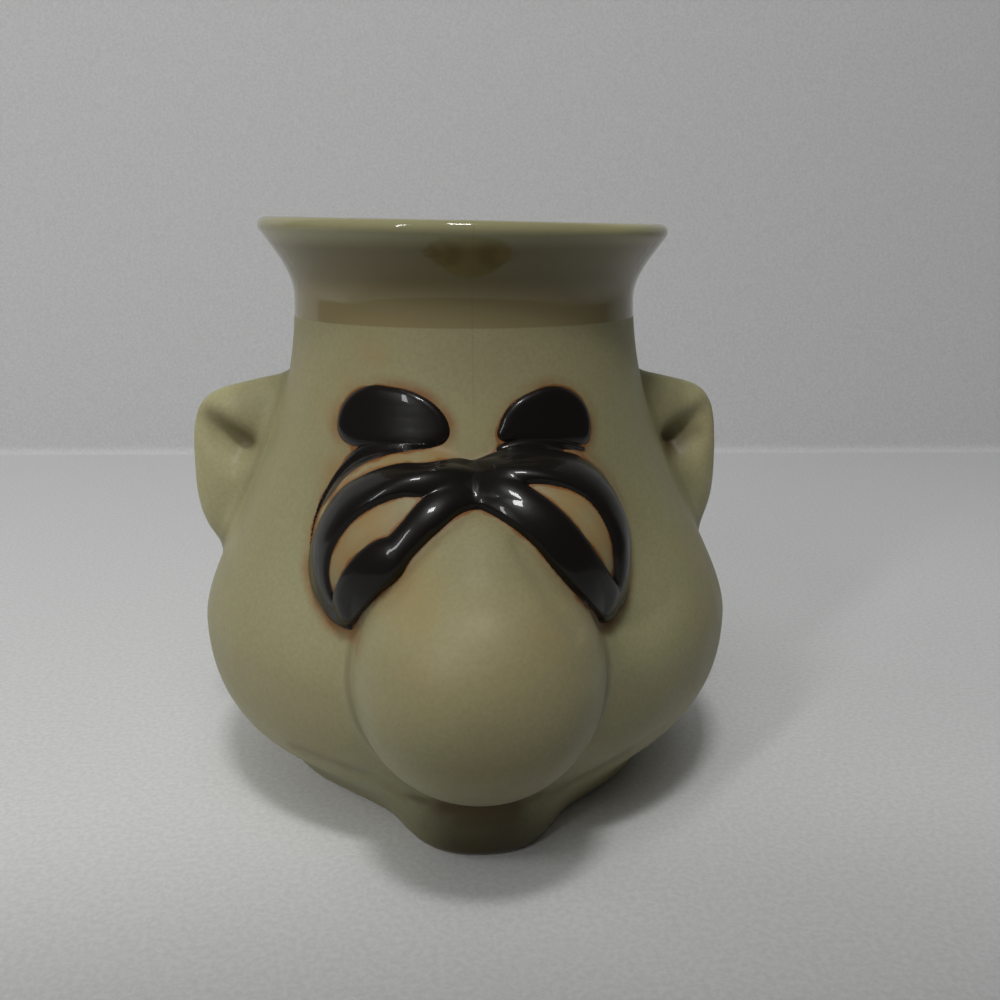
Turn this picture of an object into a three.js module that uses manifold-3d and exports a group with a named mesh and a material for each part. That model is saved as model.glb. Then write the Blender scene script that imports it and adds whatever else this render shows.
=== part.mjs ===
// A stoneware face mug: a cast head with a flared lip, heavy jowls and a small chin, a hanging nose,
// two bulging eyes under thick dark lids, dark brows, a pair of ears, and a pulled handle behind.
// Millimetres, +Z up. The origin is the centre of the flat foot, on the head's axis. The face looks
// along -Y and the handle stands at +Y. Left and right are the viewer's, facing the mug.

import * as THREE from "three";
import { mergeVertices } from "three/addons/utils/BufferGeometryUtils.js";
import Module from "manifold-3d";

const wasm = await Module();
wasm.setup();

const degrees = THREE.MathUtils.degToRad;
const point = (x, y) => new THREE.Vector2(x, y);

// Head: the revolved form
const mugHeight = 110;
const rimRadius = 39;
const lipThickness = 3;
const lipSlope = degrees(35); // how far the flare leans out from upright where it meets the lip
const flareHeight = 14; // from the neck's waist up to the rim's top
const neckRadius = 32.8;
const jowlRadius = 52.8;
const jowlHeight = 34;
const footRadius = 37.5;
const footBevel = 1.5;
const wall = 4.2;
const floorThickness = 6;
const floorCorner = 8; // radius between the floor and the inner wall

// Head: the modelled jaw and eye sockets
const chinReach = 9; // how far the chin stands out from the foot's ring
const chinSpread = degrees(21);
const chinTurn = degrees(0.6); // the chin points a little to the right
const jawDip = { left: 5.2, right: 3 }; // how far the foot draws in between the chin and the jowls
const jawDipAngle = degrees(44);
const jawDipSpread = degrees(30);
const jawHeight = 17;
const socketDepth = 3.5;
const socketAngle = degrees(38);
const socketSpread = degrees(17);
const socketHalfHeight = 14;

// Nose: a pear that hangs from between the eyes
const noseBulbRadius = 20.9;
const noseBulbHeight = 37.2;
const noseOverhang = 18; // how far the bulb's front stands out from the jowls
const noseLength = 30.5; // from the bulb's centre up to the tip between the eyes, along the nose
const noseLean = degrees(20);
const noseShoulder = degrees(36); // how far up the ball runs before the nose tapers

// Eyes: two balls side by side, set into the head above the nose
const eyeRadius = 18.6;
const eyeHeight = 54.2;
const eyeSpacing = 18.4;
const eyeSetBack = 11.8; // from the head's front surface to the balls' centres

// Lids: rolls of clay laid on the eyes, leaving a wedge of each ball bare between them
const lidThickness = 1.3;
const lidOuterRadius = 17.8;
const lidInnerRadius = 14.1;
const lidInnerOut = 0.8; // the inner arc's centre, away from the nose and below the eye's centre
const lidInnerDrop = 0.5;
const wedgeTopIn = 0.8; // the bare wedge's upper corner, towards the nose and above the eye's centre
const wedgeTopRise = 13.6;
const wedgeBottomOut = 14.1; // its lower corner, away from the nose and below the eye's centre
const wedgeBottomDrop = 3.4;
const lowerLidBow = 2.2; // how far the lower lid's edge swells out into the wedge
const bridgeLevel = 10.8; // where the two lids part over the bridge, above the eye's centre
const lidEnd = degrees(-52); // how far down the outer side the lids run

// Brows: raised pads over the eyes
const browThickness = 1.3;
const browHeight = 9.8;
const browRise = 18.6; // from the eyes' centres up to the brows' straight lower edge
const brows = {
  left: { centre: -13.9, width: 19 },
  right: { centre: 12.6, width: 16.6 },
};

// Ears: flat lobes, squarer above than below, with a slanting hollow that fans out from its deep end
const earHeight = 36;
const earThickness = 12;
const earReach = { left: 13.5, right: 11 }; // how far each ear stands out from the head
const earRoot = 12; // how far an ear's form runs on into the head's wall
const earLevel = 61;
const earSetBack = 5;
const earSquareness = { above: 4, below: 2.6 }; // 2 is a plain oval outline, more is squarer
const earTopSlope = degrees(13); // how steeply the upper edge rises towards the head
const earHollowDepth = 5;
const earHollowLength = 9;
const earHollowWidth = { above: 2.2, below: 4.5 };
const earHollowSlope = degrees(34);
const earHollowInset = 11; // from the ear's outer edge to the hollow's deep end
const earHollowRise = 5.5; // above the ear's middle

// Handle: a pulled strap, narrower towards its lower end
const handleTop = 86; // where the strap's middle leaves the neck
const handleBottom = 29; // where it lands on the jowls
const handleReach = 25; // how far the strap stands out behind the jowls
const handleWidth = 19;
const handleThickness = 9;
const handleTaper = 0.72; // the lower end's width, as a share of the upper end's
const handleSwell = 0.3; // how much the strap thickens where it is pressed onto the head
const handleSwellReach = 0.12; // how far along the strap that runs, as a share of its length
const handleCrownShare = 0.55; // where the loop is highest, as a share of the way to its back
const handleCrownRise = 5; // how far it rises there
const handleShoulderInset = 5; // where the loop turns down, in from its back
const handleShoulderDrop = 8; // and below the upper end
const handleBackDrop = 26; // where it stands furthest back, below the upper end
const handleHeelInset = 9; // where it turns in to the jowls, in from its back
const handleHeelRise = 12; // and above the lower end

// Luted joints between the clay parts
const slip = 0.3;

// Facets
const headSegments = 64;
const lipSteps = 6;
const cornerSteps = 4;
const handleSteps = 26;
const outlineSteps = 7;

/** A bell-shaped weight, 1 at the centre; a higher power gives flatter tops and steeper sides. */
const bell = (x, centre, spread, power = 2) =>
  Math.exp(-(Math.abs((x - centre) / spread) ** power));

/** Points along several curves in a row, with the given number of steps on each. */
function pointsAlong(curves, steps) {
  const points = [];
  curves.forEach((curve, i) => points.push(...curve.getPoints(steps[i]).slice(i ? 1 : 0)));
  return points;
}

const lipRadius = lipThickness / 2;
const lipCentre = point(rimRadius - lipRadius, mugHeight - lipRadius);

/** The wall's outer line at the side of the head, from the foot's edge to the lip. */
function outerLine() {
  const neckHeight = mugHeight - flareHeight;
  const neckLength = neckHeight - jowlHeight;
  const flareEnd = point(
    lipCentre.x + lipRadius * Math.cos(lipSlope),
    lipCentre.y - lipRadius * Math.sin(lipSlope),
  );
  const flarePull = flareHeight * 0.3;
  const jaw = new THREE.CubicBezierCurve(
    point(footRadius, footBevel),
    point(footRadius + 5.5, footBevel + jowlHeight * 0.38),
    point(jowlRadius, jowlHeight * 0.47),
    point(jowlRadius, jowlHeight),
  );
  const cheek = new THREE.CubicBezierCurve(
    point(jowlRadius, jowlHeight),
    point(jowlRadius, jowlHeight + neckLength * 0.18),
    point(neckRadius, neckHeight - neckLength * 0.46),
    point(neckRadius, neckHeight),
  );
  const flare = new THREE.CubicBezierCurve(
    point(neckRadius, neckHeight),
    point(neckRadius, neckHeight + flarePull),
    point(flareEnd.x - flarePull * Math.sin(lipSlope), flareEnd.y - flarePull * Math.cos(lipSlope)),
    flareEnd,
  );
  return pointsAlong([jaw, cheek, flare], [9, 14, 6]);
}

const outerPoints = outerLine();

/** The revolved radius of the outer wall at a height. */
function revolvedRadius(z) {
  const above = outerPoints.findIndex((p) => p.y >= z);
  if (above === 0) return outerPoints[0].x;
  if (above < 0) return outerPoints.at(-1).x;
  const [low, high] = [outerPoints[above - 1], outerPoints[above]];
  return THREE.MathUtils.mapLinear(z, low.y, high.y, low.x, high.x);
}

/** How far the modelled face stands out from the revolved form, or draws into it. */
function modelling(angle, z) {
  const jaw = 1 - THREE.MathUtils.smoothstep(z, 0, jawHeight);
  const chin = chinReach * bell(angle, chinTurn, chinSpread, 3);
  const leftDip = jawDip.left * bell(angle, -jawDipAngle, jawDipSpread);
  const rightDip = jawDip.right * bell(angle, jawDipAngle, jawDipSpread);
  const beside = bell(Math.abs(angle), socketAngle, socketSpread);
  const socket = beside * bell(z, eyeHeight, socketHalfHeight);
  return jaw * (chin - leftDip - rightDip) - socketDepth * socket;
}

/** The head's outer radius at an angle from the face's middle, and at a height. */
const headRadius = (angle, z) => revolvedRadius(z) + modelling(angle, z);

/** Stands a lathe upright, and moves its points in or out to the head's modelled form. */
function modelHead(lathe) {
  const geometry = lathe.rotateX(Math.PI / 2);
  const position = geometry.getAttribute("position");
  for (let i = 0; i < position.count; i++) {
    const [x, y] = [position.getX(i), position.getY(i)];
    const z = THREE.MathUtils.clamp(position.getZ(i), 0, mugHeight);
    const scale = headRadius(Math.atan2(x, -y), z) / revolvedRadius(z);
    position.setXY(i, x * scale, y * scale);
  }
  return geometry;
}

/** A manifold-3d solid from a closed geometry. */
function solidOf(geometry) {
  const bare = geometry.clone();
  bare.deleteAttribute("normal");
  bare.deleteAttribute("uv");
  const merged = mergeVertices(bare, 1e-4);
  return new wasm.Manifold(
    new wasm.Mesh({
      numProp: 3,
      vertProperties: merged.getAttribute("position").array,
      triVerts: new Uint32Array(merged.index.array),
    }),
  );
}

/** A BufferGeometry from a manifold-3d solid. */
function geometryOf(solid) {
  const mesh = solid.getMesh();
  const geometry = new THREE.BufferGeometry();
  geometry.setAttribute("position", new THREE.BufferAttribute(mesh.vertProperties, 3));
  geometry.setIndex(new THREE.BufferAttribute(mesh.triVerts, 1));
  geometry.computeVertexNormals();
  return geometry;
}

/** The cast shell: flat foot, jaw, jowls, neck, flare, lip and the inside down to the floor. */
function headShell() {
  const points = [point(0, 0), point(footRadius - footBevel, 0), ...outerPoints];
  const overLip = new THREE.EllipseCurve(
    lipCentre.x, lipCentre.y, lipRadius, lipRadius, -lipSlope, Math.PI + lipSlope / 4,
  );
  points.push(...overLip.getPoints(lipSteps).slice(1));
  const cornerTop = floorThickness + floorCorner;
  const inside = outerPoints
    .filter((p, i) => i % 2 === 1 && p.y > cornerTop + wall && p.y < lipCentre.y - lipThickness)
    .map((p) => point(p.x - wall, p.y));
  points.push(...inside.reverse());
  const innerRadius = revolvedRadius(cornerTop) - wall;
  const corner = new THREE.EllipseCurve(
    innerRadius - floorCorner, cornerTop, floorCorner, floorCorner, 0, -Math.PI / 2, true,
  );
  points.push(...corner.getPoints(cornerSteps), point(0, floorThickness));
  return solidOf(modelHead(new THREE.LatheGeometry(points, headSegments)));
}

/** The head's outer form as one solid, grown by a distance, for seating parts on it. */
function headForm(grow) {
  const points = [point(0, -grow), point(footRadius - footBevel + grow, -grow)];
  outerPoints.forEach((p) => points.push(point(p.x + grow, p.y)));
  points.push(point(rimRadius + grow, lipCentre.y), point(lipCentre.x, mugHeight + grow));
  points.push(point(0, mugHeight + grow));
  return solidOf(modelHead(new THREE.LatheGeometry(points, headSegments)));
}

const eyeY = eyeSetBack - headRadius(0, eyeHeight);
const browLevel = eyeHeight + browRise;

/** One eyeball's outer form, grown by a distance; side is -1 on the left and 1 on the right. */
function eyeForm(side, grow) {
  const ball = new THREE.SphereGeometry(eyeRadius + grow, 32, 20).rotateX(Math.PI / 2);
  return solidOf(ball.translate((side * eyeSpacing) / 2, eyeY, eyeHeight));
}

/** The nose's outer form, grown by a distance: a pear revolved about its own leaning axis. */
function noseForm(grow) {
  const bulb = noseBulbRadius + grow;
  const ball = new THREE.EllipseCurve(0, 0, bulb, bulb, -Math.PI / 2, noseShoulder);
  const shoulder = ball.getPoint(1);
  const pull = noseLength * 0.16;
  const taper = new THREE.CubicBezierCurve(
    shoulder,
    point(shoulder.x - pull * Math.sin(noseShoulder), shoulder.y + pull * Math.cos(noseShoulder)),
    point(bulb * 0.55, noseLength * 0.87 + grow),
    point(0, noseLength + grow),
  );
  const pear = new THREE.LatheGeometry(pointsAlong([ball, taper], [12, 8]), 32);
  const tip = revolvedRadius(noseBulbHeight) + noseOverhang;
  pear.rotateX(Math.PI / 2 - noseLean);
  return solidOf(pear.translate(0, noseBulbRadius - tip, noseBulbHeight));
}

/** How much a point of a round outline moves out to square it; the outline's radius is 1. */
function squaring(x, z) {
  const power = z > 0 ? earSquareness.above : earSquareness.below;
  const radius = Math.hypot(x, z);
  return radius < 1e-6 ? 1 : radius / (Math.abs(x) ** power + Math.abs(z) ** power) ** (1 / power);
}

/** The share of an ear hollow's depth at a point, outward and upward from its deep end. */
function earHollow(outward, upward) {
  const along = outward * Math.cos(earHollowSlope) + upward * Math.sin(earHollowSlope);
  const across = upward * Math.cos(earHollowSlope) - outward * Math.sin(earHollowSlope);
  const width = across > 0 ? earHollowWidth.above : earHollowWidth.below;
  return bell(along, 0, along > 0 ? earHollowLength : earHollowWidth.above) * bell(across, 0, width);
}

/** One ear: a flattened ball with a squared outline and a slanting hollow pressed into its front. */
function earForm(side) {
  const reach = side < 0 ? earReach.left : earReach.right;
  const halfWidth = (reach + earRoot) / 2;
  const middle = headRadius(Math.PI / 2, earLevel) + reach - halfWidth;
  const ear = new THREE.SphereGeometry(1, 30, 20).rotateX(Math.PI / 2);
  const position = ear.getAttribute("position");
  for (let i = 0; i < position.count; i++) {
    const [across, up] = [position.getX(i), position.getZ(i)];
    const scale = squaring(across, up);
    const outward = side * across * scale * halfWidth;
    const rise = Math.max(up, 0) * -outward * Math.tan(earTopSlope);
    const upward = (up * scale * earHeight) / 2 + rise;
    const front = THREE.MathUtils.clamp(-3 * position.getY(i), 0, 1);
    const hollow = earHollow(outward - halfWidth + earHollowInset, upward - earHollowRise);
    const y = (position.getY(i) * earThickness) / 2 + front * earHollowDepth * hollow;
    position.setXYZ(i, side * outward, y, upward);
  }
  return solidOf(ear.translate(side * middle, earSetBack, earLevel));
}

/** A cutter through the front of the head, of an outline drawn facing it; side -1 mirrors it. */
function cutter(shape, side, x, z) {
  const outline = new THREE.Shape(shape.getPoints(outlineSteps).map((p) => point(side * p.x, p.y)));
  const depth = 2 * (jowlRadius + noseOverhang);
  const solid = new THREE.ExtrudeGeometry(outline, { depth, bevelEnabled: false });
  return solidOf(solid.rotateX(Math.PI / 2).translate(x, 0, z));
}

/** A brow's outline: straight below and a half oval above, with small round corners. */
function browShape(width) {
  const shape = new THREE.Shape();
  const half = width / 2;
  shape.moveTo(-half * 0.78, 0);
  shape.lineTo(half * 0.78, 0);
  shape.quadraticCurveTo(half, 0, half, browHeight * 0.25);
  shape.bezierCurveTo(half, browHeight * 0.7, half * 0.55, browHeight, 0, browHeight);
  shape.bezierCurveTo(-half * 0.55, browHeight, -half, browHeight * 0.7, -half, browHeight * 0.25);
  shape.quadraticCurveTo(-half, 0, -half * 0.78, 0);
  return shape;
}

const lidInnerShift = point(lidInnerOut, -lidInnerDrop);
const wedgeTop = point(-wedgeTopIn, wedgeTopRise);
const wedgeBottom = point(wedgeBottomOut, -wedgeBottomDrop);

/** The upper lid's outline from the eye's centre: a crescent that runs in to the bridge. */
function upperLidShape() {
  const shape = new THREE.Shape();
  const middle = -eyeSpacing / 2 + slip / 2;
  const bridgeAngle = Math.acos(middle / lidOuterRadius);
  const top = Math.atan2(wedgeTop.y - lidInnerShift.y, wedgeTop.x - lidInnerShift.x);
  shape.absarc(0, 0, lidOuterRadius, lidEnd, bridgeAngle, false);
  shape.lineTo(middle, bridgeLevel);
  shape.absarc(lidInnerShift.x, lidInnerShift.y, lidInnerRadius, top, lidEnd, true);
  return shape;
}

/** The lower lid's outline from the eye's centre: from the bridge down along the nose. */
function lowerLidShape() {
  const shape = new THREE.Shape();
  const middle = -eyeSpacing / 2 + slip / 2;
  const inner = lidInnerRadius - slip;
  const low = Math.atan2(wedgeBottom.y - lidInnerShift.y, wedgeBottom.x - lidInnerShift.x);
  shape.moveTo(middle, bridgeLevel - slip);
  shape.lineTo(middle, -lidOuterRadius);
  shape.lineTo(0, -lidOuterRadius);
  shape.absarc(lidInnerShift.x, lidInnerShift.y, inner, lidEnd, low, false);
  const bow = point(wedgeBottom.y - wedgeTop.y, wedgeTop.x - wedgeBottom.x).normalize();
  const crown = wedgeTop.clone().lerp(wedgeBottom, 0.5).addScaledVector(bow, -lowerLidBow);
  shape.quadraticCurveTo(crown.x, crown.y, wedgeTop.x, wedgeTop.y - 2 * slip);
  return shape;
}

/** The handle's strap, bent along its loop and narrowed towards the jowls. */
function handleForm() {
  const section = new THREE.Shape();
  section.absellipse(0, 0, 0.5, 0.5, 0, Math.PI * 2);
  const strap = new THREE.ExtrudeGeometry(section, {
    depth: 1, steps: handleSteps, bevelEnabled: false, curveSegments: 8,
  });
  const back = jowlRadius + handleReach - handleThickness / 2;
  const start = neckRadius - wall / 2;
  const loop = new THREE.CatmullRomCurve3([
    new THREE.Vector3(0, start, handleTop),
    new THREE.Vector3(0, start + (back - start) * handleCrownShare, handleTop + handleCrownRise),
    new THREE.Vector3(0, back - handleShoulderInset, handleTop - handleShoulderDrop),
    new THREE.Vector3(0, back, handleTop - handleBackDrop),
    new THREE.Vector3(0, back - handleHeelInset, handleBottom + handleHeelRise),
    new THREE.Vector3(0, jowlRadius - wall / 2, handleBottom),
  ]);
  const position = strap.getAttribute("position");
  for (let i = 0; i < position.count; i++) {
    const t = position.getZ(i);
    const centre = loop.getPointAt(t);
    const along = loop.getTangentAt(t);
    const swell = 1 + handleSwell * (bell(t, 0, handleSwellReach) + bell(t, 1, handleSwellReach));
    const offset = position.getY(i) * handleThickness * swell;
    const x = position.getX(i) * handleWidth * THREE.MathUtils.lerp(1, handleTaper, t) * swell;
    position.setXYZ(i, x, centre.y + offset * along.z, centre.z - offset * along.y);
  }
  return solidOf(strap);
}

const beigeGlaze = new THREE.MeshStandardMaterial({ color: 0x9a936c, roughness: 0.35, metalness: 0 });
const darkGlaze = new THREE.MeshStandardMaterial({ color: 0x17130f, roughness: 0.12, metalness: 0 });
const mug = new THREE.Group();

/** Adds a named part to the mug. */
function addPart(name, solid, material) {
  const mesh = new THREE.Mesh(geometryOf(solid), material);
  mesh.name = name;
  mug.add(mesh);
}

const headSeat = headForm(slip);
const noseSeat = noseForm(slip);
const browSkin = headForm(slip + browThickness).subtract(headSeat);

addPart("head_shell", headShell(), beigeGlaze);
const nose = noseForm(0).subtract(headSeat);
addPart("nose", nose.subtract(eyeForm(-1, slip)).subtract(eyeForm(1, slip)), beigeGlaze);

for (const [name, side] of [["left", -1], ["right", 1]]) {
  const eyeX = (side * eyeSpacing) / 2;
  const span = 4 * jowlRadius;
  const half = solidOf(
    new THREE.BoxGeometry(span, span, span).translate((side * (span + slip)) / 2, 0, eyeHeight),
  );
  const eyeSeat = eyeForm(side, slip);
  addPart(`eye_${name}`, eyeForm(side, 0).subtract(headSeat).intersect(half), beigeGlaze);

  const lidForm = eyeForm(side, slip + lidThickness);
  const lidSkin = lidForm.subtract(eyeSeat).subtract(headSeat).subtract(noseSeat).intersect(half);
  const upper = cutter(upperLidShape(), side, eyeX, eyeHeight);
  const lower = cutter(lowerLidShape(), side, eyeX, eyeHeight);
  addPart(`upper_lid_${name}`, lidSkin.intersect(upper), darkGlaze);
  addPart(`lower_lid_${name}`, lidSkin.intersect(lower), darkGlaze);

  const brow = cutter(browShape(brows[name].width), side, brows[name].centre, browLevel);
  const clear = eyeForm(side, slip + lidThickness + slip);
  addPart(`brow_${name}`, browSkin.subtract(clear).intersect(brow), darkGlaze);

  addPart(`ear_${name}`, earForm(side).subtract(headSeat), beigeGlaze);
}

addPart("handle", handleForm().subtract(headSeat), beigeGlaze);

export default mug;
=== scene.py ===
"""A glazed stoneware face mug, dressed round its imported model.

The fired mug is one skin of clay. Its head, nose, eyes, ears and handle are built apart and fused, and
each point of the fused skin is settled onto a blend of the parts, so that every joint has a wiped
fillet. The lids and brows are thick dark glaze laid on that skin. Metres, +Z up, and the face looks
along -Y. Left and right are the viewer's, facing the mug.
"""

import logging
import math
from abc import ABC, abstractmethod
from collections.abc import Callable
from dataclasses import dataclass, field
from enum import Enum
from functools import cached_property

import bmesh
import bpy
import numpy as np
from bmesh.types import BMEdge, BMesh, BMVert
from bpy.types import Material, Mesh, Node, NodeSocket, Object
from mathutils import Matrix, Vector, noise
from mathutils.bvhtree import BVHTree
from mathutils.geometry import interpolate_bezier


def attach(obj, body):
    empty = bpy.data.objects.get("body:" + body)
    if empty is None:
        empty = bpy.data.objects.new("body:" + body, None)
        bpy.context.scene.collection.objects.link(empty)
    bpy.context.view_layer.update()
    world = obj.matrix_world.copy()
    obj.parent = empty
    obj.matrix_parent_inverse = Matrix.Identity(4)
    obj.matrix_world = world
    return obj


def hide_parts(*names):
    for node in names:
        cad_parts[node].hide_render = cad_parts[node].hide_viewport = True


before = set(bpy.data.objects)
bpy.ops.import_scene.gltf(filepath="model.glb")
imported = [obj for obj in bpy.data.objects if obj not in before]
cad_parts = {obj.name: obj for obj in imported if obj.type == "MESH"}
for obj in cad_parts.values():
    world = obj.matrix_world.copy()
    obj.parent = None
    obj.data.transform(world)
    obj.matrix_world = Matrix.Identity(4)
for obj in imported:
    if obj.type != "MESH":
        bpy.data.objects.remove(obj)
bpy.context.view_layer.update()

log = logging.getLogger("face_mug")

Pair = tuple[float, float]
Colour = tuple[float, float, float]
Knots = tuple[tuple[float, float, float], ...]

MM = 0.001
FACE_BACK = -20 * MM  # strokes lie in front of this
SPOTS_BACK = 8 * MM  # and spots of colour in front of this
HALO_REACH = 8 * MM
OUT_OF_REACH = 100.0
TOUCHING = 0.02 * MM
JOINT_WIDTH = 2.2 * MM


class Side(Enum):
    """A side of the face, as the viewer sees it."""

    LEFT = -1
    RIGHT = 1


class Slot(Enum):
    """The record's material slots."""

    BODY = "beige_glaze"
    DARK = "dark_glaze"


def bell(x: np.ndarray, centre: float, spread: float, power: float = 2.0) -> np.ndarray:
    """A bell-shaped weight, 1 at the centre; a higher power gives a flatter top."""
    return np.exp(-(np.abs((x - centre) / spread) ** power))


def smoothstep(x: np.ndarray, low: float, high: float) -> np.ndarray:
    """A smooth rise from 0 at low to 1 at high."""
    t = np.clip((x - low) / (high - low), 0.0, 1.0)
    return t * t * (3.0 - 2.0 * t)


def unit(rows: np.ndarray) -> np.ndarray:
    """Each row at a length of 1."""
    return rows / np.linalg.norm(rows, axis=1)[:, None]


def curve_chain(curves: list[tuple[Pair, ...]], steps: list[int]) -> list[Pair]:
    """Samples Bezier curves that follow each other.

    Args:
        curves: four (x, y) control points for each curve.
        steps: the number of steps on each curve.

    Returns:
        The points in order, without a joint's point given twice.
    """
    points: list[Pair] = []
    for (a, b, c, d), count in zip(curves, steps):
        sampled = interpolate_bezier(Vector(a), Vector(b), Vector(c), Vector(d), count + 1)
        points += [tuple(p) for p in sampled[1 if points else 0 :]]
    return points


def arc(centre: Pair, radius: float, start: float, end: float, steps: int) -> list[Pair]:
    """Points on a circular arc, with both ends."""
    angles = np.linspace(start, end, steps + 1)
    return [(centre[0] + radius * math.cos(a), centre[1] + radius * math.sin(a)) for a in angles]


def smooth_path(knots: np.ndarray, per_span: int) -> np.ndarray:
    """A centripetal Catmull-Rom curve through knots.

    Args:
        knots: one row for each knot; the first columns are its place, any further ones ride along.
        per_span: samples on each span.

    Returns:
        The sampled rows, from the first knot to the last.
    """
    ends = np.vstack([2 * knots[0] - knots[1], knots, 2 * knots[-1] - knots[-2]])
    rows = []
    for a, b, c, d in zip(ends[:-3], ends[1:-2], ends[2:-1], ends[3:]):
        before, here, after = (np.linalg.norm(step) ** 0.5 for step in (b - a, c - b, d - c))
        start = ((b - a) / before - (c - a) / (before + here) + (c - b) / here) * here
        end = ((c - b) / here - (d - b) / (here + after) + (d - c) / after) * here
        for t in np.arange(per_span) / per_span:
            rows.append(
                (2 * t**3 - 3 * t**2 + 1) * b
                + (t**3 - 2 * t**2 + t) * start
                + (3 * t**2 - 2 * t**3) * c
                + (t**3 - t**2) * end
            )
    return np.array(rows + [knots[-1]])


def revolved(profile: list[Pair], steps: int) -> BMesh:
    """Spins a profile once round Z into a closed mesh.

    Args:
        profile: (radius, height) points, from the axis round to the axis.
        steps: the number of steps round.

    Returns:
        The turned form.
    """
    bm = bmesh.new()
    verts = [bm.verts.new((radius, 0.0, height)) for radius, height in profile]
    edges = [bm.edges.new(pair) for pair in zip(verts[:-1], verts[1:])]
    bmesh.ops.spin(
        bm, geom=verts + edges, cent=(0, 0, 0), axis=(0, 0, 1), dvec=(0, 0, 0),
        angle=math.tau, steps=steps, use_merge=True,
    )
    bmesh.ops.remove_doubles(bm, verts=bm.verts[:], dist=0.01 * MM)
    bmesh.ops.recalc_face_normals(bm, faces=bm.faces[:])
    return bm


def ball(radius: float, place: Matrix) -> BMesh:
    """Makes a finely divided ball.

    Args:
        radius: its radius.
        place: where its centre goes.

    Returns:
        The ball.
    """
    bm = bmesh.new()
    bmesh.ops.create_uvsphere(bm, u_segments=96, v_segments=64, radius=radius, matrix=place)
    return bm


def reshaped(bm: BMesh, move: Callable[[np.ndarray], np.ndarray]) -> BMesh:
    """Moves all of a bmesh's points.

    Args:
        bm: the bmesh.
        move: gives the new places from the old ones, one row each.

    Returns:
        The same bmesh.
    """
    moved = move(np.array([vert.co for vert in bm.verts]))
    for vert, place in zip(bm.verts, moved):
        vert.co = place
    return bm


def relax(bm: BMesh, rounds: int) -> None:
    """Smooths a bmesh's points, except those on an open edge.

    Args:
        bm: the bmesh.
        rounds: how many times.
    """
    verts = [vert for vert in bm.verts if not vert.is_boundary]
    for _ in range(rounds):
        bmesh.ops.smooth_vert(
            bm, verts=verts, factor=0.5, use_axis_x=True, use_axis_y=True, use_axis_z=True
        )


def picked(grown: dict[str, list], kind: type) -> list:
    """The new items of one kind that an extrusion gave."""
    return [item for item in grown["geom"] if isinstance(item, kind)]


def mesh_of(name: str, bm: BMesh) -> Mesh:
    """Makes a mesh from a bmesh, which it frees.

    Args:
        name: the mesh's name.
        bm: the bmesh.

    Returns:
        The new mesh.
    """
    mesh = bpy.data.meshes.new(name)
    bm.to_mesh(mesh)
    bm.free()
    return mesh


def linked(name: str, data: bpy.types.ID) -> Object:
    """Puts a mesh, a light or a camera in the scene.

    Args:
        name: the object's name.
        data: what the object shows.

    Returns:
        The new object.
    """
    piece = bpy.data.objects.new(name, data)
    bpy.context.scene.collection.objects.link(piece)
    return piece


def with_modifiers(piece: Object) -> Mesh:
    """Applies a piece's modifiers, and removes the piece.

    Args:
        piece: the piece.

    Returns:
        Its mesh as the modifiers leave it.
    """
    graph = bpy.context.evaluated_depsgraph_get()
    mesh = bpy.data.meshes.new_from_object(piece.evaluated_get(graph))
    bpy.data.objects.remove(piece)
    return mesh


def coordinates(mesh: Mesh) -> np.ndarray:
    """Reads a mesh's points.

    Args:
        mesh: the mesh.

    Returns:
        Their places, one row each.
    """
    flat = np.empty(len(mesh.vertices) * 3)
    mesh.vertices.foreach_get("co", flat)
    return flat.reshape(-1, 3)


def move_to(mesh: Mesh, points: np.ndarray) -> None:
    """Puts a mesh's points at the given places."""
    mesh.vertices.foreach_set("co", points.ravel())
    mesh.update()


def shade_smooth(mesh: Mesh) -> None:
    """Shades all of a mesh's faces smooth."""
    mesh.polygons.foreach_set("use_smooth", [True] * len(mesh.polygons))


def store(mesh: Mesh, name: str, values: np.ndarray) -> None:
    """Stores a value for each point of a mesh, which its material reads."""
    mesh.attributes.new(name, "FLOAT", "POINT").data.foreach_set("value", values)


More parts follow.
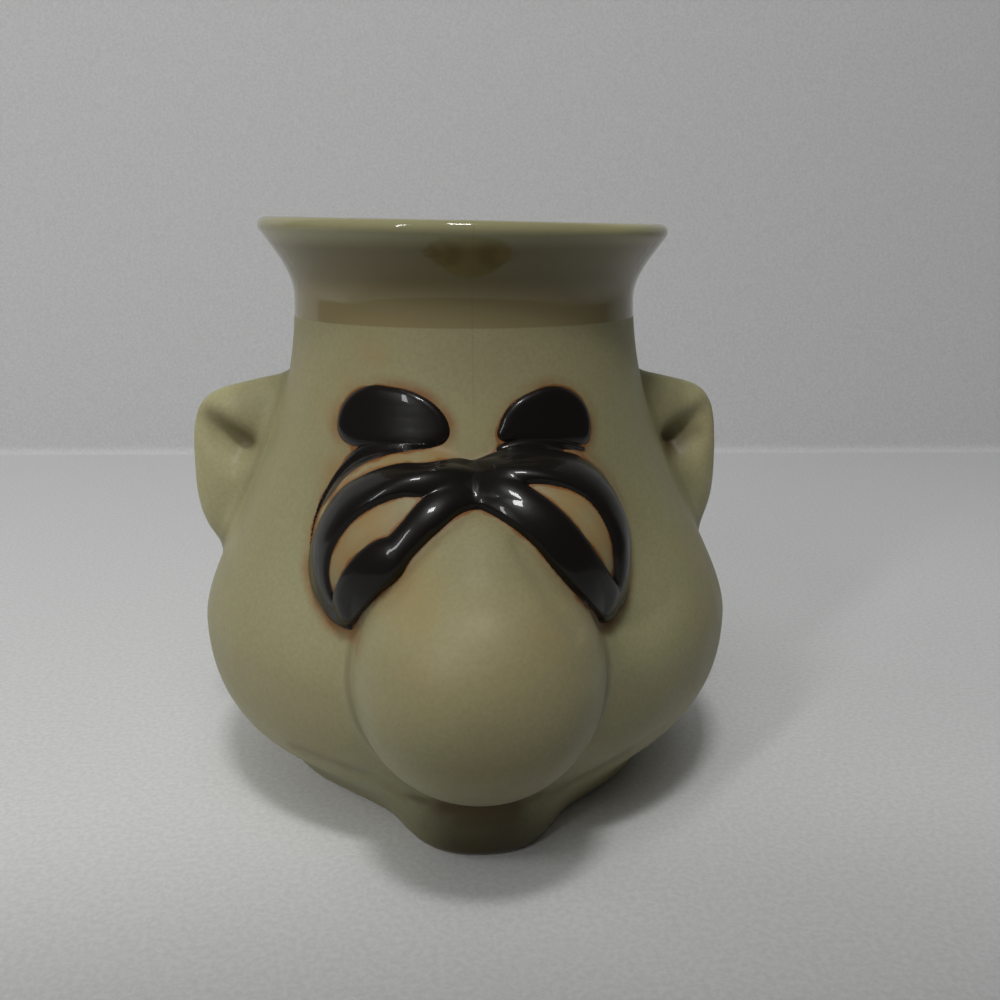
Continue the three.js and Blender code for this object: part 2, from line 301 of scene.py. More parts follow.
@dataclass(frozen=True)
class Head:
    """The cast head: a revolved wall with a modelled jaw and eye sockets."""

    mug_height: float = 110 * MM
    rim_radius: float = 39 * MM
    lip_thickness: float = 3 * MM
    lip_slope: float = math.radians(35)
    flare_height: float = 14 * MM
    flare_pull: float = 0.3
    neck_radius: float = 32.8 * MM
    neck_pull: float = 0.46
    jowl_radius: float = 52.8 * MM
    jowl_height: float = 34 * MM
    cheek_pull: float = 0.18
    jaw_swell: float = 5.5 * MM
    jaw_pull: float = 0.38
    jaw_full: float = 0.47
    foot_radius: float = 37.5 * MM
    foot_bevel: float = 1.5 * MM
    wall: float = 4.2 * MM
    floor_thickness: float = 6 * MM
    floor_corner: float = 8 * MM
    chin_reach: float = 9 * MM
    chin_spread: float = math.radians(21)
    chin_turn: float = math.radians(0.6)
    chin_flatness: int = 3
    jaw_dip_left: float = 5.2 * MM
    jaw_dip_right: float = 3 * MM
    jaw_dip_angle: float = math.radians(44)
    jaw_dip_spread: float = math.radians(30)
    jaw_height: float = 17 * MM
    socket_depth: float = 3.5 * MM
    socket_angle: float = math.radians(38)
    socket_spread: float = math.radians(17)
    socket_height: float = 54.2 * MM
    socket_half_height: float = 14 * MM
    segments: int = 144

    @cached_property
    def outer_line(self) -> list[Pair]:
        """The wall's outer line at the side of the head.

        Returns:
            (radius, height) points, from the foot's edge to the lip.
        """
        lip = self.lip_thickness / 2
        neck_height = self.mug_height - self.flare_height
        neck_length = neck_height - self.jowl_height
        pull = self.flare_height * self.flare_pull
        end = (
            self.rim_radius - lip + lip * math.cos(self.lip_slope),
            self.mug_height - lip - lip * math.sin(self.lip_slope),
        )
        jaw = (
            (self.foot_radius, self.foot_bevel),
            (self.foot_radius + self.jaw_swell, self.foot_bevel + self.jowl_height * self.jaw_pull),
            (self.jowl_radius, self.jowl_height * self.jaw_full),
            (self.jowl_radius, self.jowl_height),
        )
        cheek = (
            (self.jowl_radius, self.jowl_height),
            (self.jowl_radius, self.jowl_height + neck_length * self.cheek_pull),
            (self.neck_radius, neck_height - neck_length * self.neck_pull),
            (self.neck_radius, neck_height),
        )
        flare = (
            (self.neck_radius, neck_height),
            (self.neck_radius, neck_height + pull),
            (end[0] - pull * math.sin(self.lip_slope), end[1] - pull * math.cos(self.lip_slope)),
            end,
        )
        return curve_chain([jaw, cheek, flare], [28, 44, 16])

    def revolved_radius(self, z: np.ndarray) -> np.ndarray:
        """The revolved wall's outer radius at a height."""
        radii, heights = zip(*self.outer_line)
        return np.interp(z, heights, radii)

    def modelling(self, angle: np.ndarray, z: np.ndarray) -> np.ndarray:
        """How the modelled face departs from the revolved wall.

        Args:
            angle: the angles from the face's middle.
            z: the heights.

        Returns:
            How far it stands out there; less than 0 where it draws in.
        """
        jaw = 1.0 - smoothstep(z, 0.0, self.jaw_height)
        chin = self.chin_reach * bell(angle, self.chin_turn, self.chin_spread, self.chin_flatness)
        left_dip = self.jaw_dip_left * bell(angle, -self.jaw_dip_angle, self.jaw_dip_spread)
        right_dip = self.jaw_dip_right * bell(angle, self.jaw_dip_angle, self.jaw_dip_spread)
        socket = bell(np.abs(angle), self.socket_angle, self.socket_spread)
        socket = socket * bell(z, self.socket_height, self.socket_half_height)
        return jaw * (chin - left_dip - right_dip) - self.socket_depth * socket

    def radius(self, angle: np.ndarray, z: np.ndarray) -> np.ndarray:
        """The head's outer radius at an angle from the face's middle, and at a height."""
        return self.revolved_radius(z) + self.modelling(angle, z)

    def stretch(self, points: np.ndarray) -> np.ndarray:
        """How much wider the modelled face is than the revolved wall, at each point's angle."""
        x, y, z = points.T
        return self.radius(np.arctan2(x, -y), z) / self.revolved_radius(z)

    def modelled(self, points: np.ndarray) -> np.ndarray:
        """Moves points of the revolved wall in or out to the modelled face."""
        scale = self.stretch(points)
        return points * np.column_stack((scale, scale, np.ones(len(points))))

    @cached_property
    def profile(self) -> list[Pair]:
        """The shell's closed profile.

        Returns:
            (radius, height) points: foot, wall, lip, inside and floor.
        """
        lip = self.lip_thickness / 2
        lip_centre = (self.rim_radius - lip, self.mug_height - lip)
        corner_top = self.floor_thickness + self.floor_corner
        inner = float(self.revolved_radius(corner_top)) - self.wall
        over_lip = arc(lip_centre, lip, -self.lip_slope, math.pi + self.lip_slope / 4, 14)
        inside = [
            (radius - self.wall, height)
            for radius, height in self.outer_line[::-2]
            if corner_top + self.wall < height < lip_centre[1] - self.lip_thickness
        ]
        corner_centre = (inner - self.floor_corner, corner_top)
        corner = arc(corner_centre, self.floor_corner, 0.0, -math.pi / 2, 10)
        foot = [(0.0, 0.0), (self.foot_radius - self.foot_bevel, 0.0)]
        floor = [(0.0, self.floor_thickness)]
        return foot + self.outer_line + over_lip[1:] + inside + corner + floor

    def build(self) -> BMesh:
        """The whole cast shell."""
        return reshaped(revolved(self.profile, self.segments), self.modelled)

    def core(self) -> BMesh:
        """The form inside the middle of the wall.

        Returns:
            A closed form, which no part of the face reaches into.
        """
        middle = [(radius - self.wall / 2, height) for radius, height in self.outer_line[::2]]
        profile = [(0.0, self.foot_bevel)] + middle + [(0.0, middle[-1][1])]
        return reshaped(revolved(profile, self.segments // 2), self.modelled)

    def is_outside(self, points: np.ndarray) -> np.ndarray:
        """Tells the outside of the wall from its inside.

        Args:
            points: one row for each point.

        Returns:
            Which points lie outside the middle of the wall.
        """
        angle = np.arctan2(points[:, 0], -points[:, 1])
        reach = np.hypot(points[:, 0], points[:, 1])
        return reach > self.radius(angle, points[:, 2]) - self.wall / 2


@dataclass(frozen=True)
class Nose:
    """The hanging nose: a pear revolved about its own leaning axis."""

    head: Head
    bulb_radius: float = 20.9 * MM
    bulb_height: float = 37.2 * MM
    overhang: float = 18 * MM
    length: float = 30.5 * MM
    lean: float = math.radians(20)
    shoulder: float = math.radians(36)
    shoulder_pull: float = 0.16
    tip_width: float = 0.55
    tip_pull: float = 0.87

    @cached_property
    def profile(self) -> list[Pair]:
        """The pear's outline beside its axis.

        Returns:
            (radius, height) points, from the bottom up.
        """
        bulb = self.bulb_radius
        round_end = arc((0.0, 0.0), bulb, -math.pi / 2, self.shoulder, 36)
        start = round_end[-1]
        pull = self.length * self.shoulder_pull
        taper = (
            start,
            (start[0] - pull * math.sin(self.shoulder), start[1] + pull * math.cos(self.shoulder)),
            (bulb * self.tip_width, self.length * self.tip_pull),
            (0.0, self.length),
        )
        return round_end + curve_chain([taper], [28])[1:]

    @property
    def place(self) -> Matrix:
        """Where the pear's axis stands, and how it leans.

        Returns:
            The place of the bulb's centre and the turn of the axis.
        """
        tip = float(self.head.revolved_radius(self.bulb_height)) + self.overhang
        middle = Matrix.Translation((0.0, self.bulb_radius - tip, self.bulb_height))
        return middle @ Matrix.Rotation(-self.lean, 4, "X")

    def build(self) -> BMesh:
        """Turns the pear and leans it.

        Returns:
            The pear in its place.
        """
        bm = revolved(self.profile, 96)
        bmesh.ops.transform(bm, matrix=self.place, verts=bm.verts)
        return bm


@dataclass(frozen=True)
class Eye:
    """One bulging eyeball, set into the head above the nose."""

    head: Head
    side: Side
    radius: float = 18.6 * MM
    height: float = 54.2 * MM
    spacing: float = 18.4 * MM
    set_back: float = 11.8 * MM

    @property
    def centre(self) -> Vector:
        """The ball's centre."""
        front = float(self.head.radius(0.0, self.height))
        return Vector((self.side.value * self.spacing / 2, self.set_back - front, self.height))

    def build(self) -> BMesh:
        """The ball in its place."""
        return ball(self.radius, Matrix.Translation(self.centre))


@dataclass(frozen=True)
class Ear:
    """One ear: a flattened lobe with a squared outline and a slanting hollow in front."""

    head: Head
    side: Side
    reach: float
    height: float = 36 * MM
    thickness: float = 12 * MM
    root: float = 12 * MM
    level: float = 61 * MM
    set_back: float = 5 * MM
    squareness_above: float = 4.0
    squareness_below: float = 2.6
    top_slope: float = math.radians(13)
    hollow_depth: float = 5 * MM
    hollow_steepness: float = 3.0
    hollow_length: float = 9 * MM
    hollow_width_above: float = 2.2 * MM
    hollow_width_below: float = 4.5 * MM
    hollow_slope: float = math.radians(34)
    hollow_inset: float = 11 * MM
    hollow_rise: float = 5.5 * MM

    def hollow(self, outward: np.ndarray, upward: np.ndarray) -> np.ndarray:
        """The hollow's form.

        Args:
            outward: how far out each point lies from the hollow's deep end.
            upward: how far up it lies from there.

        Returns:
            The share of the hollow's depth at each point.
        """
        slope_cos, slope_sin = math.cos(self.hollow_slope), math.sin(self.hollow_slope)
        along = outward * slope_cos + upward * slope_sin
        across = upward * slope_cos - outward * slope_sin
        width = np.where(across > 0, self.hollow_width_above, self.hollow_width_below)
        length = np.where(along > 0, self.hollow_length, self.hollow_width_above)
        return bell(along / length, 0.0, 1.0) * bell(across / width, 0.0, 1.0)

    def pressed(self, points: np.ndarray) -> np.ndarray:
        """Presses a unit ball to the lobe's form.

        Args:
            points: the ball's points, one row each.

        Returns:
            Their places on the finished lobe.
        """
        half_width = (self.reach + self.root) / 2
        middle = float(self.head.radius(math.pi / 2, self.level)) + self.reach - half_width
        x, y, z = points.T
        power = np.where(z > 0, self.squareness_above, self.squareness_below)
        corner = (np.abs(x) ** power + np.abs(z) ** power) ** (1 / power)
        squared = np.hypot(x, z) / np.maximum(corner, 1e-9)
        outward = self.side.value * x * squared * half_width
        rise = np.maximum(z, 0.0) * -outward * math.tan(self.top_slope)
        upward = z * squared * self.height / 2 + rise
        hollow = self.hollow(outward - half_width + self.hollow_inset, upward - self.hollow_rise)
        front = np.clip(-self.hollow_steepness * y, 0.0, 1.0)
        deep = y * self.thickness / 2 + front * self.hollow_depth * hollow
        return np.column_stack(
            (self.side.value * (middle + outward), self.set_back + deep, self.level + upward)
        )

    def build(self) -> BMesh:
        """The lobe in its place, its root running on into the head."""
        return reshaped(ball(1.0, Matrix.Identity(4)), self.pressed)


@dataclass(frozen=True)
class Handle:
    """The pulled strap handle behind the head, narrower towards its lower end."""

    head: Head
    top: float = 86 * MM
    bottom: float = 29 * MM
    reach: float = 25 * MM
    width: float = 19 * MM
    thickness: float = 9 * MM
    taper: float = 0.72
    swell: float = 0.3
    swell_share: float = 0.12
    run_on: float = 5 * MM
    end_size: float = 0.6

    def centre_line(self) -> np.ndarray:
        """The strap's middle.

        Returns:
            Rows of (y, z), from the neck round to the jowls.
        """
        back = self.head.jowl_radius + self.reach - self.thickness / 2
        start = self.head.neck_radius - self.head.wall / 2
        knots = np.array([
            (start, self.top),
            (start + (back - start) * 0.55, self.top + 5 * MM),
            (back - 5 * MM, self.top - 8 * MM),
            (back, self.top - 26 * MM),
            (back - 9 * MM, self.bottom + 12 * MM),
            (self.head.jowl_radius - self.head.wall / 2, self.bottom),
        ])
        return smooth_path(knots, 14)

    def build(self) -> BMesh:
        """Bridges one ring after another along the loop, and caps the ends.

        The line runs on into the wall at both ends, where the last rings are small and hidden.

        Returns:
            The closed strap.
        """
        line = self.centre_line()
        ways = line[0] - line[1], line[-1] - line[-2]
        ends = [end + self.run_on * way / np.linalg.norm(way) for end, way in zip(line[[0, -1]], ways)]
        line = np.vstack((ends[0], line, ends[1]))
        run = np.append(0.0, np.cumsum(np.linalg.norm(np.diff(line, axis=0), axis=1)))
        bm = bmesh.new()
        loops = []
        for (y, z), t, (ahead_y, ahead_z) in zip(line, run / run[-1], np.gradient(line, axis=0)):
            swell = 1 + self.swell * (bell(t, 0, self.swell_share) + bell(t, 1, self.swell_share))
            swell *= self.end_size if t in (0.0, 1.0) else 1.0
            half_width = self.width / 2 * (1 + (self.taper - 1) * t) * swell
            turn = Matrix.Rotation(math.atan2(-ahead_y, ahead_z), 4, "X")
            size = Matrix.Diagonal((half_width, self.thickness / 2 * swell, 1.0, 1.0))
            ring = bmesh.ops.create_circle(
                bm, segments=40, radius=1.0, matrix=Matrix.Translation((0, y, z)) @ turn @ size
            )
            loops.append(list({edge for vert in ring["verts"] for edge in vert.link_edges}))
        for one, other in zip(loops[:-1], loops[1:]):
            bmesh.ops.bridge_loops(bm, edges=one + other)
        bmesh.ops.holes_fill(bm, edges=[e for e in bm.edges if e.is_boundary], sides=0)
        bmesh.ops.recalc_face_normals(bm, faces=bm.faces[:])
        return bm


class Form(ABC):
    """One clay part that a point's signed distance can be asked of.

    Attributes:
        bm: the part's surface.
        fillet: the width of the blend where this part meets those before it.
        low: the low corner of the box beyond which the part has no say.
        high: the box's high corner.
    """

    def __init__(self, bm: BMesh, fillet: float = 0.0) -> None:
        """Keeps the surface, and works out its box.

        Args:
            bm: the part's surface.
            fillet: the width of its blend.
        """
        self.bm = bm
        self.fillet = fillet
        corners = np.array([vert.co for vert in bm.verts])
        self.low = corners.min(axis=0) - fillet - MM
        self.high = corners.max(axis=0) + fillet + MM

    def near(self, points: np.ndarray) -> np.ndarray:
        """Which points lie in the part's own box."""
        return ((points > self.low) & (points < self.high)).all(axis=1)

    @abstractmethod
    def distance(self, points: np.ndarray) -> tuple[np.ndarray, np.ndarray]:
        """The signed distance from the part's surface, and its slope.

        Args:
            points: one row for each point.

        Returns:
            The distances, less than 0 inside, and the unit directions in which they grow.
        """


class PressedForm(Form):
    """A freely shaped part, measured from its mesh."""

    def __init__(self, bm: BMesh, fillet: float = 0.0) -> None:
        """Keeps the surface for searching."""
        super().__init__(bm, fillet)
        self.tree = BVHTree.FromBMesh(bm)

    def distance(self, points: np.ndarray) -> tuple[np.ndarray, np.ndarray]:
        """Measures from the nearest face.

        Args:
            points: one row for each point.

        Returns:
            The signed distances and their slopes.
        """
        gaps = np.empty(len(points))
        slopes = np.empty((len(points), 3))
        for i, point in enumerate(points):
            nearest, normal, _, gap = self.tree.find_nearest(point)
            offset = Vector(point) - nearest
            sign = 1.0 if offset.dot(normal) >= 0.0 else -1.0
            gaps[i] = sign * gap
            slopes[i] = offset * (sign / gap) if gap > TOUCHING else normal
        return gaps, slopes


class BallForm(Form):
    """An eyeball, measured from its centre."""

    def __init__(self, eye: Eye, fillet: float) -> None:
        """Keeps the eyeball.

        Args:
            eye: the eyeball.
            fillet: the width of its blend.
        """
        super().__init__(eye.build(), fillet)
        self.centre = np.array(eye.centre)
        self.radius = eye.radius

    def distance(self, points: np.ndarray) -> tuple[np.ndarray, np.ndarray]:
        """Measures from the ball.

        Args:
            points: one row for each point.

        Returns:
            The signed distances and their slopes.
        """
        away = points - self.centre
        reach = np.linalg.norm(away, axis=1)
        return reach - self.radius, away / reach[:, None]


class TurnedForm(Form):
    """A turned part, measured from its profile beside its axis.

    Attributes:
        profile: the (radius, height) points, with the clay on the left hand as they run.
        place: the axis's place, as a matrix.
        stretch: the width of the part at points, as a share of the turned form's.
    """

    def __init__(
        self, part: Head | Nose, fillet: float = 0.0, place: Matrix | None = None,
        stretch: Callable[[np.ndarray], np.ndarray] | None = None,
    ) -> None:
        """Keeps the profile and its place.

        Args:
            part: the turned part.
            fillet: the width of its blend.
            place: the axis's place, or none for the mug's own axis.
            stretch: the part's width at points, or none where it is truly round.
        """
        super().__init__(part.build(), fillet)
        self.profile = np.array(part.profile)
        self.place = np.array(place or Matrix.Identity(4))
        self.stretch = stretch or (lambda points: np.ones(len(points)))

    def beside(self, flat: np.ndarray) -> tuple[np.ndarray, np.ndarray]:
        """Measures from the profile.

        Args:
            flat: (radius, height) points, one row each.

        Returns:
            The signed distances and their slopes, in the profile's plane.
        """
        start, run = self.profile[:-1], np.diff(self.profile, axis=0)
        length = np.linalg.norm(run, axis=1)
        offset = flat[:, None] - start
        share = np.clip((offset * run).sum(axis=2) / length**2, 0.0, 1.0)
        away = offset - share[..., None] * run
        nearest = (away**2).sum(axis=2).argmin(axis=1)
        away = away[np.arange(len(flat)), nearest]
        normal = (run / length[:, None])[nearest] @ np.array([[0.0, -1.0], [1.0, 0.0]])
        sign = np.where((away * normal).sum(axis=1) >= 0.0, 1.0, -1.0)
        gap = sign * np.linalg.norm(away, axis=1)
        slope = np.where(np.abs(gap)[:, None] > TOUCHING, away / (gap + 1e-12)[:, None], normal)
        return gap, slope

    def distance(self, points: np.ndarray) -> tuple[np.ndarray, np.ndarray]:
        """Measures from the turned surface, some thousands of points at a time.

        Args:
            points: one row for each point.

        Returns:
            The signed distances and their slopes.
        """
        turn, middle = self.place[:3, :3], self.place[:3, 3]
        local = (points - middle) @ turn
        radius = np.maximum(np.hypot(local[:, 0], local[:, 1]), 1e-9)
        flat = np.column_stack((radius / self.stretch(points), local[:, 2]))
        pieces = [self.beside(part) for part in np.array_split(flat, len(flat) // 8000 + 1)]
        gap, slope = (np.concatenate(column) for column in zip(*pieces))
        outward = (slope[:, 0] / radius)[:, None] * local[:, :2]
        return gap, np.column_stack((outward, slope[:, 1])) @ turn.T


@dataclass(frozen=True)
class Stroke:
    """A mark in front view, drawn along a smooth path with a half width that changes.

    Attributes:
        knots: (x, z, half width) in millimetres.
        height: how far the middle stands out, in metres: a coat's at a half width of 3 mm, and a
            groove's, below 0, all along.
        base: a straight lower edge, as its level in millimetres at x = 0 and its slope.
        corner: the radius where that edge meets the rest.
    """

    knots: Knots
    height: float
    base: Pair | None = None
    corner: float = 1.6 * MM

    @cached_property
    def path(self) -> np.ndarray:
        """The path's samples, as rows of (x, z, half width) in metres."""
        return smooth_path(np.array(self.knots) * MM, 10)

    def gap(self, points: np.ndarray) -> tuple[np.ndarray, np.ndarray]:
        """Measures from the stroke's edge in front view.

        Args:
            points: one row for each point.

        Returns:
            The distances outside the edge, a large one for points far off or well behind the face,
            and the half widths there.
        """
        flat = points[:, [0, 2]]
        reach = self.path[:, 2].max() + HALO_REACH
        low, high = self.path[:, :2].min(axis=0) - reach, self.path[:, :2].max(axis=0) + reach
        inside = ((flat > low) & (flat < high)).all(axis=1) & (points[:, 1] < FACE_BACK)
        near = np.flatnonzero(inside)
        edge = np.full(len(points), 1.0)
        width = np.full(len(points), self.path[0, 2])
        if len(near):
            away = np.linalg.norm(flat[near, None] - self.path[None, :, :2], axis=2)
            away -= self.path[None, :, 2]
            edge[near] = away.min(axis=1)
            width[near] = self.path[away.argmin(axis=1), 2]
        if self.base:
            below = self.base[0] * MM + self.base[1] * flat[:, 0] - flat[:, 1]
            blend = np.maximum(self.corner - np.abs(edge - below), 0.0) / self.corner
            edge = np.maximum(edge, below) + blend**2 * self.corner / 4
        return edge, width


def strokes(height: float, *lines: Knots) -> tuple[Stroke, ...]:
    """Strokes of one height, from their knots."""
    return tuple(Stroke(line, height) for line in lines)


@dataclass(frozen=True)
class Spot:
    """A soft spot of colour in front view, in millimetres, or a streak that runs on to an end."""

    x: float
    z: float
    spread: float
    strength: float
    end: Pair | None = None

    def distance(self, flat: np.ndarray) -> np.ndarray:
        """Measures from the spot's middle, or from the streak's line.

        Args:
            flat: (x, z) points in metres, one row each.

        Returns:
            The distances in millimetres.
        """
        start = np.array((self.x, self.z))
        run = np.array(self.end or (self.x, self.z)) - start
        offset = flat / MM - start
        share = np.clip(offset @ run / max(run @ run, 1e-9), 0.0, 1.0)
        return np.linalg.norm(offset - share[:, None] * run, axis=1)


def spots(*rows: tuple) -> tuple[Spot, ...]:
    """Spots from rows of x, z, spread and strength, with a streak's end last."""
    return tuple(Spot(*row) for row in rows)


def spotted(points: np.ndarray, marks: tuple[Spot, ...]) -> np.ndarray:
    """How strongly spots of colour show on the mug's front.

    Args:
        points: one row for each point.
        marks: the spots.

    Returns:
        The strongest spot's strength at each point, and 0 behind the front.
    """
    total = np.zeros(len(points))
    for spot in marks:
        away = spot.distance(points[:, [0, 2]])
        total = np.maximum(total, spot.strength * bell(away, 0.0, spot.spread))
    return np.where(points[:, 1] < SPOTS_BACK, total, 0.0)


# Dark glaze in front view, in millimetres: across, up, half width.
# The lids, each from the bridge outwards: upper and lower left, upper and lower right
LIDS = strokes(
    1.2 * MM,
    (
        (0.5, 67.7, 2.9), (-4.5, 69.0, 2.3), (-8.5, 69.1, 2.15), (-12.5, 69.0, 2.1),
        (-17.2, 67.4, 2.1), (-21.2, 64.7, 2.1), (-24.7, 59.7, 1.85), (-26.3, 54.2, 1.85),
        (-25.7, 49.2, 2.0), (-22.6, 45.4, 1.6),
    ),
    (
        (0.0, 67.4, 2.3), (-4.2, 66.5, 2.5), (-7.7, 64.4, 2.6), (-11.1, 61.3, 2.35),
        (-13.2, 59.2, 2.5), (-15.2, 57.4, 3.4), (-18.2, 54.5, 3.3), (-20.9, 49.9, 2.6),
        (-21.9, 46.4, 1.9),
    ),
    (
        (-0.5, 67.7, 2.9), (4.2, 69.7, 2.4), (8.2, 70.6, 2.2), (12.6, 70.2, 2.05),
        (16.8, 68.9, 2.1), (20.6, 66.1, 2.1), (23.6, 60.7, 2.0), (24.5, 55.0, 1.95),
        (24.1, 50.0, 1.95), (21.8, 45.4, 1.6),
    ),
    (
        (0.0, 67.4, 2.3), (3.5, 66.8, 2.9), (6.8, 65.4, 3.2), (11.1, 62.3, 3.4),
        (14.7, 58.0, 3.5), (18.6, 52.6, 3.1), (21.0, 49.0, 2.6), (21.9, 46.2, 1.9),
    ),
)
# The glaze's thin runs: under the left and right brow, and in the left and right outer crease
RUNS = strokes(
    0.8 * MM,
    (
        (-8.0, 73.2, 0.4), (-11.5, 73.1, 0.75), (-15.0, 72.7, 1.05), (-19.0, 71.2, 1.15),
        (-22.4, 68.1, 0.65), (-24.8, 64.8, 0.4), (-26.9, 61.2, 0.25), (-28.2, 57.6, 0.15),
        (-28.7, 54.4, 0.1),
    ),
    (
        (4.6, 72.6, 0.8), (8.0, 73.2, 1.1), (12.5, 73.1, 1.0), (16.0, 72.5, 0.75),
        (19.3, 71.3, 0.3),
    ),
    (
        (-28.2, 54.5, 0.15), (-28.3, 52.1, 0.4), (-27.9, 49.9, 0.65), (-26.5, 47.3, 0.8),
        (-24.2, 45.2, 0.95), (-21.5, 44.4, 0.7),
    ),
    (
        (26.7, 54.6, 0.15), (26.4, 50.9, 0.5), (24.9, 46.7, 0.9), (22.4, 44.7, 0.9),
        (21.5, 44.4, 0.7),
    ),
)
BROW_LEFT = Stroke(
    knots=((-15.8, 75.0, 7.7), (-12.3, 75.2, 7.0), (-9.3, 75.3, 5.2), (-7.6, 75.1, 3.5)),
    height=0.8 * MM, base=(73.0, 0.045), corner=3.2 * MM,
)
BROW_RIGHT = Stroke(
    knots=((13.4, 74.9, 7.5), (10.5, 75.2, 6.1), (7.6, 75.1, 3.5), (6.0, 75.0, 2.1)),
    height=0.8 * MM, base=(74.2, -0.11), corner=1.2 * MM,
)

# Soft folds pressed into the clay: right and left nose flank, left and right jaw, and the mouth
GROOVES = (
    Stroke(
        knots=(
            (5.9, 60.5, 1.6), (7.8, 58.0, 2.2), (9.9, 55.1, 2.6), (12.4, 51.6, 2.6),
            (14.9, 48.2, 2.0),
        ),
        height=-0.45 * MM,
    ),
    Stroke(
        knots=((-7.6, 61.3, 1.6), (-10.0, 57.9, 2.2), (-12.6, 54.5, 2.4), (-14.8, 51.2, 2.2)),
        height=-0.25 * MM,
    ),
    Stroke(
        knots=(
            (-32.5, 18.6, 1.5), (-27.0, 17.0, 2.4), (-21.5, 16.6, 2.4), (-16.0, 14.6, 2.2),
            (-12.8, 10.8, 1.5),
        ),
        height=-0.45 * MM,
    ),
    Stroke(
        knots=(
            (34.0, 19.4, 1.2), (30.0, 17.6, 2.2), (25.4, 15.6, 2.4), (19.0, 12.4, 2.2),
            (14.6, 10.0, 1.5),
        ),
        height=-0.35 * MM,
    ),
    Stroke(
        knots=((-9.5, 4.9, 0.8), (-4.0, 5.9, 1.1), (3.0, 5.9, 1.1), (9.5, 4.7, 0.8)),
        height=-0.25 * MM,
    ),
)

# Where the dark glaze flushes the clay beside it most, where the clay is tinted warmer,
# where shade is painted, where light is painted, and where brown glaze pools, with painted
# shade in those pools under the nose and in the ears' hollows
FLUSHED = spots(
    (-12.0, 83.4, 3.0, 0.8), (-8.4, 81.0, 3.5, 1.0), (-4.4, 77.6, 3.0, 0.95),
    (-24.3, 75.2, 3.0, 0.6), (12.0, 83.2, 3.0, 0.45), (21.7, 75.0, 3.0, 0.6),
    (20.6, 71.6, 2.5, 0.6), (-29.6, 50.4, 3.0, 0.9), (-28.4, 46.6, 3.0, 1.0),
    (-24.6, 43.6, 3.0, 1.0), (-20.6, 42.8, 3.0, 0.9), (27.6, 50.4, 3.0, 0.8),
    (26.6, 46.2, 3.0, 1.0), (22.8, 43.0, 3.0, 1.0), (18.8, 42.4, 2.0, 0.6),
)
TINTED = spots(
    (-17.0, 63.0, 4.5, 0.8), (-20.5, 57.0, 4.5, 0.9), (15.5, 66.0, 4.5, 0.8),
    (20.0, 60.0, 4.5, 0.8), (-14.0, 71.5, 3.0, 0.7), (-6.0, 71.6, 3.0, 0.8),
    (-23.5, 67.0, 3.0, 0.8), (-11.0, 54.0, 6.0, 0.5), (-9.0, 45.0, 7.0, 0.3),
    (9.0, 50.0, 5.0, 0.3), (-17.0, 87.5, 4.0, 0.4), (-21.0, 83.0, 3.5, 0.3),
    (-24.0, 77.0, 4.0, 0.3), (0.0, 27.0, 9.0, 0.2), (0.0, 75.5, 4.5, 0.2),
    (0.0, 50.0, 10.0, 0.25),
)
# Painted shade: under the nose, on the chin, the lower cheeks, the right jowl and the top of the nose
PAINTED_SHADE = spots(
    (2.0, 17.0, 13.0, 0.4), (15.0, 28.0, 9.0, 0.12), (30.0, 22.0, 12.0, 0.1),
    (-3.0, 3.0, 10.0, 0.7, (3.0, 3.0)), (0.0, 30.0, 13.0, 0.2), (-2.0, 58.0, 6.0, 0.13),
    (-13.0, 43.0, 6.0, 0.06), (40.0, 34.0, 12.0, 0.09),
)
# Painted light: paler spots on the nose, between the brows, on the right cheek and on the right of the
# rim
PAINTED_LIGHT = spots(
    (-2.0, 49.0, 8.0, 0.12), (0.0, 76.0, 5.0, 0.08), (32.0, 45.0, 9.0, 0.14),
    (27.0, 109.0, 7.0, 0.3),
)
# Brown glaze that pools under the nose, on the jaws, by the left eye and in the ears, darker still as
# painted shade under the nose and in the ears' hollows
POOLED_AND_PAINTED_SHADE = spots(
    (-12.0, 11.7, 1.1, 0.65, (-6.0, 10.8)), (-6.0, 10.5, 2.6, 1.0, (6.0, 10.2)),
    (6.0, 10.3, 1.2, 0.6, (11.0, 11.5)), (-3.0, 8.2, 2.4, 0.8, (6.0, 8.0)),
    (-3.5, 6.0, 0.9, 0.5, (6.0, 5.6)), (0.0, 1.5, 4.0, 0.5),
    (-32.0, 19.3, 1.5, 0.3, (-20.0, 17.2)), (13.5, 10.8, 1.8, 0.35, (27.0, 16.6)),
    (-27.0, 52.0, 1.2, 0.4), (-43.2, 67.2, 1.8, 0.38, (-51.0, 72.2)),
    (-43.0, 66.9, 1.4, 0.55), (42.6, 65.0, 2.4, 0.95), (43.4, 65.2, 1.8, 0.5, (48.0, 67.8)),
)


